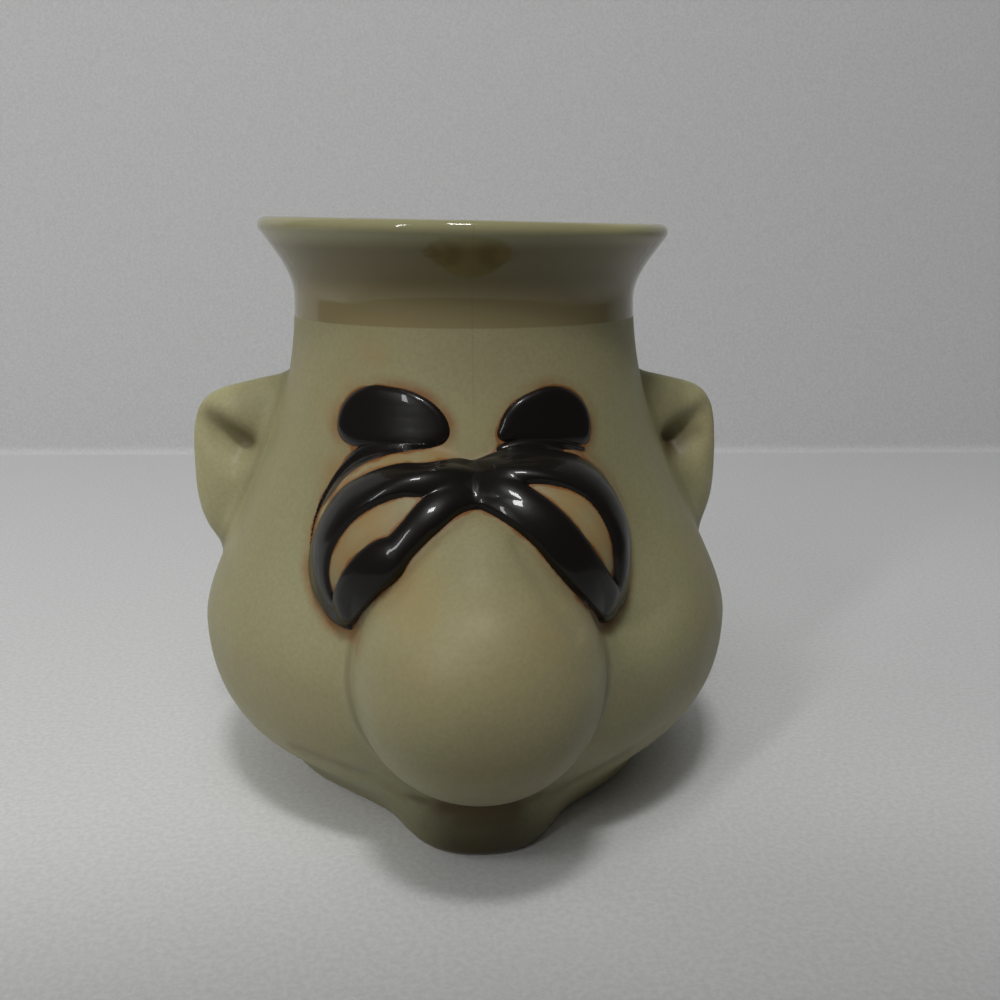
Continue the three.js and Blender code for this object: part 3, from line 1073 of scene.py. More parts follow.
@dataclass(frozen=True)
class Skin:
    """The blended outer form that the fused clay settles onto.

    Attributes:
        head: the head's sizes, for telling the outside of the wall from the inside.
        forms: the parts, the head first.
        step_limit: the furthest that a point moves in one round.
        least_slope: the least steepness that a step reckons with.
    """

    head: Head
    forms: tuple[Form, ...]
    step_limit: float = 1.5 * MM
    least_slope: float = 0.2

    def blend(self, points: np.ndarray) -> tuple[np.ndarray, np.ndarray, np.ndarray]:
        """The blended signed distance.

        Args:
            points: one row for each point.

        Returns:
            The distances, the directions in which they grow, and how near each point is to a joint
            between parts, from 0 to 1.
        """
        gap, slope = self.forms[0].distance(points)
        joint = np.zeros(len(points))
        outside = self.head.is_outside(points)
        for form in self.forms[1:]:
            chosen = np.flatnonzero(outside & form.near(points))
            if not len(chosen):
                continue
            other_gap, other_slope = form.distance(points[chosen])
            mix = np.clip(0.5 + 0.5 * (other_gap - gap[chosen]) / form.fillet, 0.0, 1.0)
            near = bell(other_gap - gap[chosen], 0.0, JOINT_WIDTH)
            joint[chosen] = np.maximum(joint[chosen], near)
            gap[chosen] = other_gap * (1 - mix) + gap[chosen] * mix - form.fillet * mix * (1 - mix)
            slope[chosen] = other_slope * (1 - mix)[:, None] + slope[chosen] * mix[:, None]
        return gap, slope, joint

    def settle(self, points: np.ndarray, rounds: int = 2) -> np.ndarray:
        """Draws points onto the blended form.

        Args:
            points: one row for each point.
            rounds: how many steps each point takes.

        Returns:
            Their new places.
        """
        for _ in range(rounds):
            gap, slope, _ = self.blend(points)
            steep = np.maximum((slope**2).sum(axis=1), self.least_slope)
            step = np.clip(gap / steep, -self.step_limit, self.step_limit)
            points = points - slope * step[:, None]
        return points


class Nodes:
    """A small helper that builds a material's node tree."""

    def __init__(self, name: str) -> None:
        """Starts a material with only its shader and output.

        Args:
            name: the material's name.
        """
        self.material = bpy.data.materials.new(name)
        self.material.use_nodes = True
        self.tree = self.material.node_tree
        self.shader = self.tree.nodes["Principled BSDF"]

    def add(self, kind: str, inputs: dict | None = None, **settings: object) -> Node:
        """Adds a node.

        Args:
            kind: the node's class name.
            inputs: values or sockets for its inputs, by name or number.
            settings: the node's own properties.

        Returns:
            The node.
        """
        node = self.tree.nodes.new(kind)
        for key, value in settings.items():
            setattr(node, key, value)
        for key, value in (inputs or {}).items():
            self.feed(node.inputs[key], value)
        return node

    def feed(self, socket: NodeSocket, value: object) -> None:
        """Sets or links a socket.

        Args:
            socket: the input.
            value: a value to set, or another socket to link.
        """
        if isinstance(value, NodeSocket):
            self.tree.links.new(value, socket)
        else:
            socket.default_value = value

    def dressed(self, inputs: dict[str, object]) -> Material:
        """Feeds the shader.

        Args:
            inputs: values or sockets for its inputs, by name.

        Returns:
            The finished material.
        """
        for name, value in inputs.items():
            self.feed(self.shader.inputs[name], value)
        return self.material

    def place(self) -> NodeSocket:
        """Object coordinates."""
        return self.add("ShaderNodeTexCoord").outputs["Object"]

    def axes(self) -> tuple[NodeSocket, ...]:
        """Object coordinates apart: across, deep and up."""
        return tuple(self.add("ShaderNodeSeparateXYZ", {0: self.place()}).outputs)

    def attribute(self, name: str) -> NodeSocket:
        """A float attribute of the mesh."""
        return self.add("ShaderNodeAttribute", attribute_name=name).outputs["Fac"]

    def noise(self, scale: float, detail: float = 3.0, rough: float = 0.5) -> NodeSocket:
        """Fractal noise on Object coordinates."""
        inputs = {"Vector": self.place(), "Scale": scale, "Detail": detail, "Roughness": rough}
        return self.add("ShaderNodeTexNoise", inputs).outputs["Fac"]

    def ramp(self, value: object, low: float, high: float, out: Pair = (0.0, 1.0)) -> NodeSocket:
        """Maps a range smoothly, and holds its ends.

        Args:
            value: the value or socket.
            low: where the range starts.
            high: where it ends.
            out: what its start and end become.

        Returns:
            The mapped value.
        """
        inputs = {"Value": value, "From Min": low, "From Max": high}
        inputs |= {"To Min": out[0], "To Max": out[1]}
        node = self.add("ShaderNodeMapRange", inputs, interpolation_type="SMOOTHSTEP")
        return node.outputs["Result"]

    def bump(self, height: NodeSocket, strength: float, distance: float) -> NodeSocket:
        """A bumped normal."""
        inputs = {"Height": height, "Strength": strength, "Distance": distance}
        return self.add("ShaderNodeBump", inputs).outputs[0]

    def scaled(self, colour: NodeSocket, share: object) -> NodeSocket:
        """A colour made darker or lighter by a factor."""
        inputs = {0: colour, "Scale": share}
        return self.add("ShaderNodeVectorMath", inputs, operation="SCALE").outputs[0]

    def math(self, operation: str, *values: object) -> NodeSocket:
        """One arithmetic step on up to three values."""
        return self.add("ShaderNodeMath", dict(enumerate(values)), operation=operation).outputs[0]

    def times(self, one: object, other: object) -> NodeSocket:
        """The product of two values."""
        return self.math("MULTIPLY", one, other)

    def between(self, share: NodeSocket, one: object, other: object) -> NodeSocket:
        """A value between two others."""
        return self.add("ShaderNodeMix", {0: share, 2: one, 3: other}).outputs[0]

    def mix(self, share: NodeSocket, one: object, other: object) -> NodeSocket:
        """Mixes two colours.

        Args:
            share: the second colour's share.
            one: the first colour, as a socket or three numbers.
            other: the second colour.

        Returns:
            The mixed colour.
        """
        one, other = (c if isinstance(c, NodeSocket) else (*c, 1.0) for c in (one, other))
        inputs = {0: share, 6: one, 7: other}
        node = self.add("ShaderNodeMix", inputs, data_type="RGBA", clamp_factor=True)
        return node.outputs[2]


@dataclass(frozen=True)
class BodyGlaze:
    """Satin olive-beige glaze over buff clay, and the glossier coat that the rim was dipped in.

    A pair of levels or widths says where an effect starts and where it is full. The halo's reach and
    the closer edge's are in millimetres, as the stored glaze_gap is.
    """

    colour: Colour = (0.305, 0.288, 0.157)
    warm: Colour = (0.322, 0.269, 0.142)
    tint: Colour = (0.330, 0.225, 0.093)
    halo: Colour = (0.210, 0.070, 0.012)
    # brown glaze where it pools, also the colour of the painted shade under the nose and in the ears'
    # hollows
    pooled_glaze_and_shade: Colour = (0.075, 0.050, 0.018)
    dipped: Colour = (0.255, 0.210, 0.105)
    flare: Colour = (0.155, 0.126, 0.046)
    # browner glaze on the flare under the lip, darkened further as painted shade where the flare faces
    # down
    speck: Colour = (0.110, 0.077, 0.040)
    clay: Colour = (0.360, 0.310, 0.220)
    roughness: float = 0.45
    dipped_roughness: float = 0.07
    dry_roughness: float = 0.8
    specular: float = 0.28
    dipped_specular: float = 0.5
    dip_level: float = 92.4 * MM
    dip_slope: float = 0.004
    dip_edge: float = 0.25 * MM
    # painted shade on the flare: where it starts and where it is full
    flare_shade_levels: Pair = (96 * MM, 101 * MM)
    lip_levels: Pair = (105 * MM, 108 * MM)
    # painted shade low down: where it is full and where it ends
    low_shade_levels: Pair = (2 * MM, 30 * MM)
    bare_levels: Pair = (0.9 * MM, 0.4 * MM)
    # painted light: how far out and how high the ears are made paler
    ear_light_widths: Pair = (43 * MM, 49 * MM)
    ear_light_levels: Pair = (46 * MM, 52 * MM)
    joint_levels: Pair = (52 * MM, 42 * MM)
    seam_widths: Pair = (0.3 * MM, 0.05 * MM)
    seam_levels: Pair = (74 * MM, 82 * MM)
    mottle_scale: float = 38.0
    mottle_strength: float = 0.35
    grain_scale: float = 1300.0
    grain_shares: Pair = (0.94, 1.05)
    # painted light: how much paler the ears are made
    ear_painted_light: float = 0.3
    # painted shade low down: the share of the colour left at the bottom
    low_painted_shade: float = 0.9
    speck_scale: float = 190.0
    speck_patches: float = 90.0
    speck_strength: float = 0.75
    joint_strengths: Pair = (0.14, 0.34)
    halo_reach: float = 2.6
    halo_strength: float = 0.8
    edge_reach: float = 0.5
    edge_strength: float = 0.85
    ragged_scale: float = 260.0
    raggedness: float = 1.2
    least_flush: float = 0.25
    seam_strength: float = 0.09
    satin_scale: float = 150.0
    satin_spread: float = 0.04
    bump_scale: float = 420.0
    bump_strength: float = 0.05
    bump_depth: float = 0.3 * MM

    def ground(self, nodes: Nodes, dipped: NodeSocket) -> NodeSocket:
        """The glaze itself: mottled, with painted light on the ears, another coat on the rim, and
        painted shade on the flare, low down and in the stored spots, which also hold painted light.

        Args:
            nodes: the material's nodes.
            dipped: 1 on the dipped rim.

        Returns:
            Its colour.
        """
        x, _, z = nodes.axes()
        mottle = nodes.noise(self.mottle_scale, 2.0)
        mottle = nodes.ramp(mottle, 0.36, 0.66, (0.0, self.mottle_strength))
        colour = nodes.mix(mottle, self.colour, self.warm)
        grain = nodes.ramp(nodes.noise(self.grain_scale, 2.0, 0.7), 0.3, 0.7, self.grain_shares)
        colour = nodes.scaled(colour, grain)
        # painted light: the ears are made paler, as though more brightly lit
        ears = nodes.ramp(nodes.math("ABSOLUTE", x), *self.ear_light_widths, (0.0, self.ear_painted_light))
        ears = nodes.math("MULTIPLY_ADD", ears, nodes.ramp(z, *self.ear_light_levels), 1.0)
        colour = nodes.scaled(colour, ears)
        # the flare under the lip: a browner glaze, with painted shade where it faces down
        thick = nodes.mix(nodes.ramp(z, *self.flare_shade_levels), self.dipped, self.flare)
        thick = nodes.mix(nodes.ramp(z, *self.lip_levels), thick, self.colour)
        colour = nodes.mix(dipped, colour, thick)
        # painted shade: darker towards the bottom, and darker or lighter by the stored painted shade
        # and light
        low = nodes.ramp(z, *self.low_shade_levels, (self.low_painted_shade, 1.0))
        return nodes.scaled(colour, nodes.math("SUBTRACT", low, nodes.attribute("painted_shade_and_light")))

    def stained(self, nodes: Nodes, colour: NodeSocket) -> NodeSocket:
        """Adds iron specks, brown pooling in the joints and hollows with painted shade under the nose
        and in the ears' hollows, and warm tints.

        Args:
            nodes: the material's nodes.
            colour: the glaze's colour.

        Returns:
            The colour with its stains.
        """
        _, _, z = nodes.axes()
        inputs = {"Vector": nodes.place(), "Scale": self.speck_scale}
        dots = nodes.add("ShaderNodeTexVoronoi", inputs).outputs["Distance"]
        rare = nodes.noise(self.speck_patches)
        rare = nodes.ramp(rare, 0.6, 0.66, (0.0, self.speck_strength))
        colour = nodes.mix(nodes.times(nodes.ramp(dots, 0.06, 0.03), rare), colour, self.speck)
        joint = nodes.ramp(nodes.attribute("joint"), 0.5, 1.0)
        joint = nodes.times(joint, nodes.ramp(z, *self.joint_levels, self.joint_strengths))
        colour = nodes.mix(joint, colour, self.pooled_glaze_and_shade)
        # pools of brown glaze, with painted shade under the nose and in the ears' hollows
        colour = nodes.mix(nodes.attribute("pooled_glaze_and_painted_shade"), colour, self.pooled_glaze_and_shade)
        return nodes.mix(nodes.attribute("tint"), colour, self.tint)

    def haloed(self, nodes: Nodes, colour: NodeSocket) -> NodeSocket:
        """Adds the ragged red-brown halo round the dark glaze, and the faint mould seam.

        Args:
            nodes: the material's nodes.
            colour: the colour so far.

        Returns:
            The colour with its halo and seam.
        """
        x, y, z = nodes.axes()
        ragged = nodes.math("SUBTRACT", nodes.noise(self.ragged_scale, 4.0), 0.5)
        ragged = nodes.times(ragged, self.raggedness)
        reach = nodes.math("ADD", nodes.attribute("glaze_gap"), ragged)
        rest = 1.0 - self.least_flush
        flushed = nodes.math("MULTIPLY_ADD", nodes.attribute("flush"), rest, self.least_flush)
        wide = nodes.ramp(reach, self.halo_reach, 0.0, (0.0, self.halo_strength))
        wide = nodes.times(wide, flushed)
        close = nodes.ramp(reach, self.edge_reach, 0.0, (0.0, self.edge_strength))
        colour = nodes.mix(nodes.math("MAXIMUM", wide, close), colour, self.halo)
        seam = nodes.ramp(nodes.math("ABSOLUTE", x), *self.seam_widths, (0.0, self.seam_strength))
        seam = nodes.times(seam, nodes.ramp(z, *self.seam_levels))
        seam = nodes.times(seam, nodes.ramp(y, 0.0, -5 * MM))
        return nodes.mix(seam, colour, self.pooled_glaze_and_shade)

    def material(self) -> Material:
        """Builds the finish, glossier on the rim, and bare and dry under the foot.

        Returns:
            The material.
        """
        nodes = Nodes("body_glaze")
        x, _, z = nodes.axes()
        level = nodes.math("MULTIPLY_ADD", x, self.dip_slope, z)
        dipped = nodes.ramp(level, self.dip_level - self.dip_edge, self.dip_level + self.dip_edge)
        colour = self.haloed(nodes, self.stained(nodes, self.ground(nodes, dipped)))
        bare = nodes.ramp(z, *self.bare_levels)
        spread = (-self.satin_spread, self.satin_spread)
        satin = nodes.ramp(nodes.noise(self.satin_scale), 0.3, 0.7, spread)
        satin = nodes.math("ADD", satin, self.roughness)
        shine = nodes.between(dipped, satin, self.dipped_roughness)
        return nodes.dressed({
            "Base Color": nodes.mix(bare, colour, self.clay),
            "Roughness": nodes.math("MAXIMUM", shine, nodes.times(bare, self.dry_roughness)),
            "Specular IOR Level": nodes.between(dipped, self.specular, self.dipped_specular),
            "Normal": nodes.bump(nodes.noise(self.bump_scale), self.bump_strength, self.bump_depth),
        })


@dataclass(frozen=True)
class DarkGlaze:
    """Thick glossy brown-black glaze, redder where it runs thin, with a few small ripples."""

    colour: Colour = (0.0080, 0.0068, 0.0058)
    thin: Colour = (0.060, 0.022, 0.007)
    thin_depths: Pair = (0.08, 0.26)
    uneven_scale: float = 260.0
    unevenness: float = 0.2
    roughness: float = 0.34
    specular: float = 0.20
    skin_weight: float = 0.32
    skin_roughness: float = 0.05
    ripple_scale: float = 240.0
    ripple_strength: float = 0.10
    ripple_depth: float = 0.4 * MM

    def material(self) -> Material:
        """Builds the finish.

        Returns:
            The material.
        """
        nodes = Nodes("dark_glaze")
        uneven = nodes.times(nodes.noise(self.uneven_scale, 4.0), self.unevenness)
        depth = nodes.math("ADD", nodes.attribute("depth"), uneven)
        ripples = nodes.noise(self.ripple_scale)
        return nodes.dressed({
            "Base Color": nodes.mix(nodes.ramp(depth, *self.thin_depths), self.thin, self.colour),
            "Roughness": self.roughness,
            "Specular IOR Level": self.specular,
            "Coat Weight": self.skin_weight,
            "Coat Roughness": self.skin_roughness,
            "Normal": nodes.bump(ripples, self.ripple_strength, self.ripple_depth),
        })


@dataclass(frozen=True)
class PaleCloth:
    """The pale woven cloth that the mug stands on, with a painted shadow in front of it and
    painted shade on its upright part.
    """

    colour: Colour = (0.720, 0.725, 0.720)
    # painted shadow on the floor in front of the mug
    painted_front_shadow: Colour = (0.370, 0.375, 0.370)
    front_shadow_depths: Pair = (-0.12, -0.02)
    # painted shade on the upright backdrop
    upright_painted_shade: float = 0.88
    upright_start: float = 3 * MM
    weave_scale: float = 900.0
    weave_shares: Pair = (0.93, 1.05)
    roughness: float = 0.9

    def material(self) -> Material:
        """Builds the finish.

        Returns:
            The material.
        """
        nodes = Nodes("pale_cloth")
        _, y, z = nodes.axes()
        # painted shadow on the floor in front of the mug
        colour = nodes.mix(nodes.ramp(y, *self.front_shadow_depths), self.painted_front_shadow, self.colour)
        # painted shade: the upright part darker than the floor
        upright_shade = nodes.ramp(z, 0.0, self.upright_start, (1.0, self.upright_painted_shade))
        colour = nodes.scaled(colour, upright_shade)
        weave = nodes.ramp(nodes.noise(self.weave_scale, 2.0, 0.7), 0.3, 0.7, self.weave_shares)
        return nodes.dressed(
            {"Base Color": nodes.scaled(colour, weave), "Roughness": self.roughness}
        )


@dataclass
class ClayBody:
    """The fired clay: the parts fused into one skin, with wiped joints and a leaning rim."""

    head: Head = field(default_factory=Head)
    voxel: float = 1.12 * MM
    nose_fillet: float = 3.6 * MM
    eye_fillet: float = 1.4 * MM
    ear_fillet: float = 4.0 * MM
    handle_fillet: float = 4.0 * MM
    ear_reach_left: float = 13.5 * MM
    ear_reach_right: float = 11 * MM
    finer_depth: float = 5 * MM
    rim_lean: float = 0.0195
    lean_start: float = 84 * MM
    unevenness: float = 0.12 * MM
    unevenness_scale: float = 45.0
    foot_levels: Pair = (0.5 * MM, 4 * MM)
    grooves: tuple[Stroke, ...] = GROOVES

    @cached_property
    def skin(self) -> Skin:
        """The blended form of all the parts.

        Returns:
            The skin, with the head first.
        """
        head = self.head
        nose = Nose(head)
        ears = Ear(head, Side.LEFT, self.ear_reach_left), Ear(head, Side.RIGHT, self.ear_reach_right)
        forms = (
            TurnedForm(head, stretch=head.stretch),
            TurnedForm(nose, self.nose_fillet, place=nose.place),
            *(BallForm(Eye(head, side), self.eye_fillet) for side in Side),
            *(PressedForm(ear.build(), self.ear_fillet) for ear in ears),
            PressedForm(Handle(head).build(), self.handle_fillet),
        )
        return Skin(head, forms)

    def fused(self) -> Mesh:
        """Cuts the parts off at the middle of the wall, and fuses them with the shell.

        Returns:
            One mesh of small even faces.
        """
        core = linked("core", mesh_of("core", self.head.core()))
        bm = bmesh.new()
        for i, form in enumerate(self.skin.forms):
            piece = linked(f"form_{i}", mesh_of(f"form_{i}", form.bm))
            if i:
                cut = piece.modifiers.new("cut", "BOOLEAN")
                cut.operation = "DIFFERENCE"
                cut.solver = "MANIFOLD"
                cut.object = core
            bm.from_mesh(with_modifiers(piece))
        bpy.data.objects.remove(core)
        whole = linked("whole", mesh_of("whole", bm))
        remesh = whole.modifiers.new("fuse", "REMESH")
        remesh.mode = "VOXEL"
        remesh.voxel_size = self.voxel
        return with_modifiers(whole)

    def worked(self, points: np.ndarray, normals: np.ndarray) -> np.ndarray:
        """Adds the hand's slight unevenness and soft folds to the outer skin.

        Args:
            points: one row for each point.
            normals: the directions away from the clay there.

        Returns:
            The points' new places.
        """
        places = [Vector(point) * self.unevenness_scale for point in points]
        lift = self.unevenness * np.array([noise.noise(place) for place in places])
        outside = self.head.is_outside(points)
        for groove in self.grooves:
            gap, half_width = groove.gap(points)
            lift += outside * groove.height * smoothstep(-gap / half_width, 0.0, 1.0)
        return points + normals * lift[:, None]

    def leaned(self, points: np.ndarray) -> np.ndarray:
        """Lets the rim down towards the right.

        Args:
            points: one row for each point.

        Returns:
            Their new places.
        """
        points = points.copy()
        share = smoothstep(points[:, 2], self.lean_start, self.head.mug_height)
        points[:, 2] -= points[:, 0] * self.rim_lean * share
        return points

    def build(self) -> Mesh:
        """Fuses the parts and settles the skin, once whole and once with a finer lip.

        Returns:
            The finished skin, with its joints' nearness as an attribute.
        """
        mesh = self.fused()
        lip_start = self.head.mug_height - self.finer_depth
        for finer_lip in (False, True):
            bm = bmesh.new()
            bm.from_mesh(mesh)
            if finer_lip:
                edges = [e for e in bm.edges if min(v.co.z for v in e.verts) > lip_start]
                bmesh.ops.subdivide_edges(bm, edges=edges, cuts=1, use_grid_fill=True)
            relax(bm, 3)
            bm.to_mesh(mesh)
            bm.free()
            move_to(mesh, self.skin.settle(coordinates(mesh)))
        points = coordinates(mesh)
        _, slope, joint = self.skin.blend(points)
        foot = smoothstep(points[:, 2], *self.foot_levels)[:, None]
        move_to(mesh, self.leaned(self.worked(points, unit(slope) * foot)))
        store(mesh, "joint", joint)
        shade_smooth(mesh)
        return mesh


@dataclass
class GlazeCoat:
    """Thick dark glaze laid on the clay along strokes, as one closed piece.

    Attributes:
        name: the piece's name.
        nodes: the CAD nodes that it stands for.
        strokes: where it lies.
        clay: what it lies on.
        fill: how much deeper it runs in a joint of the clay.
        fill_depth: how deep it is where it does so in full.
        flat: whether it has a flat top with round edges, not one round crown.
        edge: how wide a flat coat's round edge is.
        fullness: how full a crown is; a lower power is fuller.
        full_width: the half width at which a crown has its whole height.
        soft: how softly strokes join.
        dive: how steeply it dives past its edge.
        sunk: how far it dives under the clay's surface.
        bed: the underside's depth, as a share of that.
        margin: how far past its edge the clay's faces are taken along.
        cuts: how many cuts each of their edges gets.
    """

    name: str
    nodes: tuple[str, ...]
    strokes: tuple[Stroke, ...]
    clay: ClayBody
    fill: float = 0.0
    fill_depth: float = 0.5 * MM
    flat: bool = False
    edge: float = 0.55 * MM
    fullness: float = 0.62
    full_width: float = 3 * MM
    soft: float = 0.12 * MM
    dive: float = 0.9
    sunk: float = 0.35 * MM
    bed: float = 1.5
    margin: float = 1.3 * MM
    cuts: int = 3

    def gap(self, points: np.ndarray) -> np.ndarray:
        """The distance outside the coat's edge in front view; far behind it, a large one."""
        return np.min([stroke.gap(points)[0] for stroke in self.strokes], axis=0)

    def lift(self, points: np.ndarray) -> np.ndarray:
        """How far the coat stands off the clay.

        Args:
            points: one row for each point.

        Returns:
            The heights; below 0 past the coat's edge, where it is sunk.
        """
        lifts = []
        for stroke in self.strokes:
            gap, half_width = stroke.gap(points)
            inside = np.clip(-gap / half_width, 0.0, 1.0)
            height = stroke.height * np.sqrt(np.minimum(half_width / self.full_width, 1.0))
            if self.flat:
                crown = 1.0 - np.exp(-np.maximum(-gap, 0.0) / self.edge)
            else:
                crown = (inside * (2.0 - inside)) ** self.fullness
            lifts.append(np.where(gap < 0.0, height * crown, -self.dive * np.minimum(gap, 5 * MM)))
        stacked = np.array(lifts)
        top = stacked.max(axis=0)
        return top + self.soft * np.log(np.exp((stacked - top) / self.soft).sum(axis=0))

    def patch(self, body: Mesh) -> Mesh:
        """Copies the clay's faces under the coat, each split into smaller ones.

        Args:
            body: the finished clay.

        Returns:
            The open patch.
        """
        points = coordinates(body)
        near = (self.gap(points) < self.margin) & self.clay.head.is_outside(points)
        bm = bmesh.new()
        bm.from_mesh(body)
        far = [face for face in bm.faces if not all(near[v.index] for v in face.verts)]
        bmesh.ops.delete(bm, geom=far, context="FACES")
        bmesh.ops.subdivide_edges(bm, edges=bm.edges[:], cuts=self.cuts, use_grid_fill=True)
        relax(bm, 2)
        return mesh_of(self.name, bm)

    def build(self, body: Mesh) -> Mesh:
        """Lifts the patch into a thick coat, and closes it with an underside sunk in the clay.

        Args:
            body: the finished clay.

        Returns:
            The coat, with its depth in millimetres as an attribute.
        """
        mesh = self.patch(body)
        base = self.clay.skin.settle(coordinates(mesh))
        _, slope, joint = self.clay.skin.blend(base)
        normals = unit(slope)
        base = self.clay.worked(base, normals)
        lift = self.lift(base)
        lift += self.fill * joint * smoothstep(lift, 0.0, self.fill_depth)
        top = base + normals * np.maximum(lift, -self.sunk)[:, None]
        bottom = base - normals * (self.bed * self.sunk)
        bm = bmesh.new()
        bm.from_mesh(mesh)
        depth = bm.verts.layers.float.new("depth")
        source = bm.verts.layers.int.new("source")
        for vert, height in zip(bm.verts, lift):
            vert[depth] = max(height, 0.0) / MM
            vert[source] = vert.index
        sunk = lift < -0.98 * self.sunk
        idle = [face for face in bm.faces if all(sunk[v.index] for v in face.verts)]
        bmesh.ops.delete(bm, geom=idle, context="FACES")
        grown = bmesh.ops.extrude_face_region(bm, geom=bm.faces[:], use_keep_orig=True)
        upper = set(picked(grown, BMVert))
        for vert in bm.verts:
            vert.co = (top if vert in upper else bottom)[vert[source]]
        bmesh.ops.recalc_face_normals(bm, faces=bm.faces[:])
        bm.verts.layers.int.remove(source)
        bm.to_mesh(mesh)
        bm.free()
        shade_smooth(mesh)
        return mesh


@dataclass(frozen=True)
class Lamp:
    """A rectangular light; a soft one that only fills is not mirrored in the glaze."""

    name: str
    place: tuple[float, float, float]
    size: Pair
    power: float
    mirrored: bool = False

    def hang(self, target: Vector) -> None:
        """Hangs the lamp and aims it.

        Args:
            target: the place that it is aimed at.
        """
        data = bpy.data.lights.new(self.name, "AREA")
        data.shape = "RECTANGLE"
        data.size, data.size_y = self.size
        data.energy = self.power
        light = linked(self.name, data)
        light.location = self.place
        light.rotation_euler = (target - Vector(self.place)).to_track_quat("-Z", "Y").to_euler()
        light.visible_glossy = self.mirrored


@dataclass(frozen=True)
class Studio:
    """The plain pale floor and backdrop, the soft lights and the camera."""

    camera_distance: float = 0.215
    camera_height: float = 0.110
    camera_yaw: float = math.radians(2.3)
    camera_pitch: float = math.radians(14.53)
    camera_pan: float = math.radians(4.164)
    lens: float = 38.88
    sensor_width: float = 36.0
    floor_front: float = -0.245
    floor_back: float = 0.302
    half_width: float = 0.9
    backdrop: tuple[float, float, float] = (0, 0.05, 0.9)
    fold_radius: float = 0.004
    fold_turn: float = math.radians(-3.4)
    room: Colour = (0.035, 0.035, 0.035)
    lit_place: tuple[float, float, float] = (0.0, 0.0, 0.05)
    lamps: tuple[Lamp, ...] = (
        Lamp("ceiling", (-0.04, -0.44, 0.89), (0.60, 0.60), 1.8),
        Lamp("side", (-0.86, 0.0, 0.45), (0.45, 0.45), 1.8),
        Lamp("bulb", (-0.03, -0.37, 0.83), (0.13, 0.10), 2.1, mirrored=True),
        Lamp("window", (-0.46, -0.60, 0.53), (0.06, 0.36), 1.4, mirrored=True),
    )

    def camera(self) -> None:
        """Places the camera where the photograph was taken from."""
        data = bpy.data.cameras.new("camera")
        data.lens = self.lens
        data.sensor_width = self.sensor_width
        camera = linked("camera", data)
        camera.location = (
            -self.camera_distance * math.sin(self.camera_yaw),
            -self.camera_distance * math.cos(self.camera_yaw),
            self.camera_height,
        )
        camera.rotation_euler = (math.pi / 2 - self.camera_pitch, 0.0, -self.camera_pan)
        bpy.context.scene.camera = camera

    def sweep(self) -> None:
        """Lays a pale cloth: flat floor, a soft fold, and a backdrop."""
        bm = bmesh.new()
        ends = [(side * self.half_width, self.floor_front, 0.0) for side in (-1, 1)]
        bm.edges.new([bm.verts.new(end) for end in ends])
        edge = bm.edges[:]
        floor = (0, self.floor_back - self.floor_front, 0)
        for step in (floor, self.backdrop):
            grown = bmesh.ops.extrude_edge_only(bm, edges=edge)
            edge = picked(grown, BMEdge)
            bmesh.ops.translate(bm, verts=picked(grown, BMVert), vec=step)
        turn = Matrix.Rotation(self.fold_turn, 4, "Z")
        bmesh.ops.transform(bm, matrix=turn, verts=bm.verts)
        fold = [e for e in bm.edges if len(e.link_faces) == 2]
        bmesh.ops.bevel(
            bm, geom=fold, offset=self.fold_radius, affect="EDGES", segments=6, profile=0.5,
            material=-1,
        )
        bmesh.ops.recalc_face_normals(bm, faces=bm.faces[:])
        mesh = mesh_of("sweep", bm)
        mesh.polygons.foreach_set("use_smooth", [face.area < 0.1 for face in mesh.polygons])
        sweep = linked("sweep", mesh)
        mesh.materials.append(PaleCloth().material())

    def build(self) -> None:
        """Sets up the stage."""
        scene = bpy.context.scene
        scene.view_settings.view_transform = "Standard"
        scene.world = bpy.data.worlds.new("room")
        scene.world.use_nodes = True
        background = scene.world.node_tree.nodes["Background"]
        background.inputs["Color"].default_value = (*self.room, 1.0)
        self.camera()
        self.sweep()
        for lamp in self.lamps:
            lamp.hang(Vector(self.lit_place))


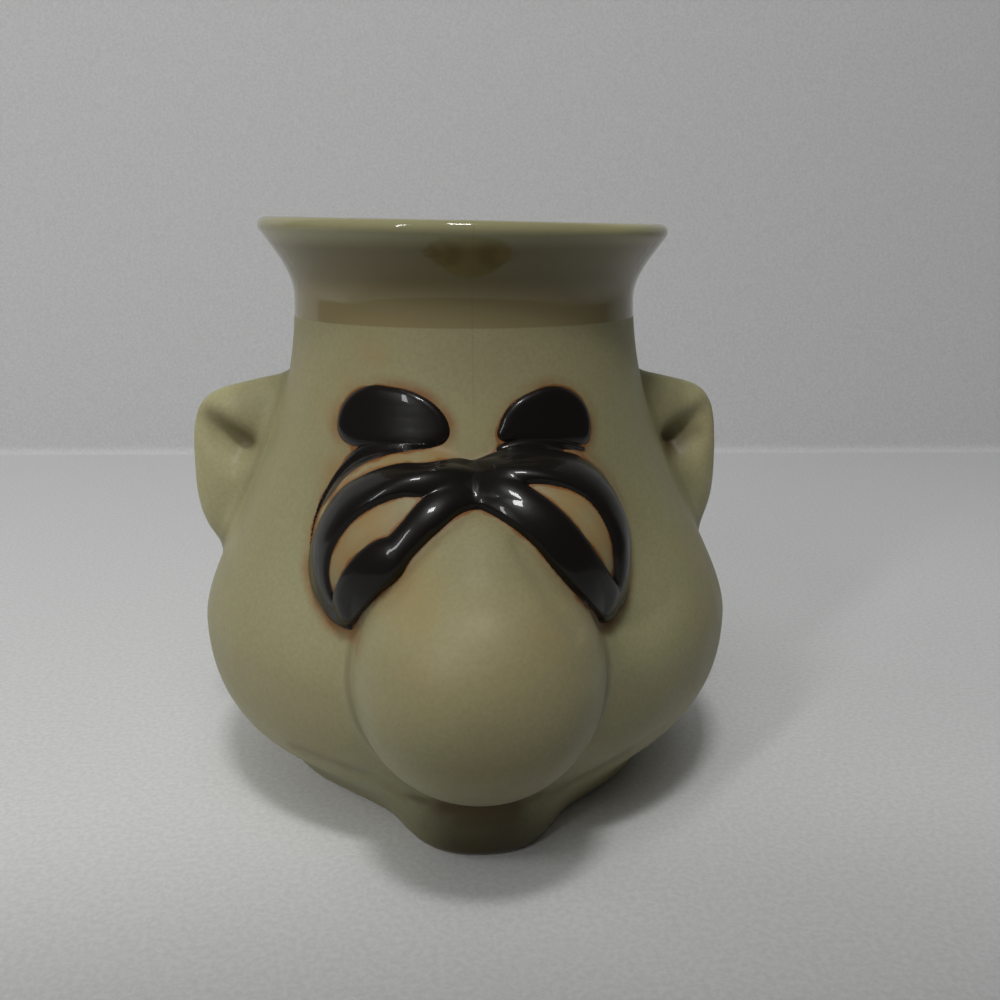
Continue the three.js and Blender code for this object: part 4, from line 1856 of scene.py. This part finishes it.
def store_colours(body: Mesh, head: Head, coats: tuple[GlazeCoat, ...]) -> None:
    """Stores on the clay how near the dark glaze is, where the body glaze changes, and where
    shade and light are painted.

    Args:
        body: the finished clay.
        head: the head's sizes.
        coats: the dark glaze.
    """
    points = coordinates(body)
    outside = head.is_outside(points)
    gaps = np.min([coat.gap(points) for coat in coats], axis=0)
    store(body, "glaze_gap", np.where(outside, gaps / MM, OUT_OF_REACH))
    for name, marks in (("flush", FLUSHED), ("tint", TINTED), ("pooled_glaze_and_painted_shade", POOLED_AND_PAINTED_SHADE)):
        store(body, name, outside * spotted(points, marks))
    # painted shade, less painted light
    store(body, "painted_shade_and_light", outside * (spotted(points, PAINTED_SHADE) - spotted(points, PAINTED_LIGHT)))


def finished(
    name: str, mesh: Mesh, material: Material, nodes: tuple[str, ...]
) -> None:
    """Puts a finished piece in the scene, and reports it.

    Args:
        name: the piece's name.
        mesh: its mesh, in place.
        material: its finish.
        nodes: the CAD nodes that it stands for.
    """
    mesh.materials.append(material)
    piece = linked(name, mesh)
    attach(piece, "root")
    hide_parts(*nodes)
    log.info("%s: %d faces, stands for %s", name, len(mesh.polygons), ", ".join(nodes))


def main() -> None:
    """Builds the stage and the mug, piece by piece."""
    Studio().build()
    clay = ClayBody()
    body = clay.build()
    lids = ("upper_lid_left", "upper_lid_right", "lower_lid_left", "lower_lid_right")
    coats = (
        GlazeCoat("lids", lids, LIDS + RUNS, clay, fill=0.6 * MM),
        GlazeCoat("brow_left_glaze", ("brow_left",), (BROW_LEFT,), clay, flat=True),
        GlazeCoat("brow_right_glaze", ("brow_right",), (BROW_RIGHT,), clay, flat=True),
    )
    dark = DarkGlaze().material()
    store_colours(body, clay.head, coats)
    for coat in coats:
        finished(coat.name, coat.build(body), dark, coat.nodes)
    nodes = ("head_shell", "nose", "eye_left", "eye_right", "ear_left", "ear_right", "handle")
    finished("clay_body", body, BodyGlaze().material(), nodes)


if __name__ == "__main__":
    logging.basicConfig(level=logging.INFO, format="%(name)s: %(message)s")
    main()
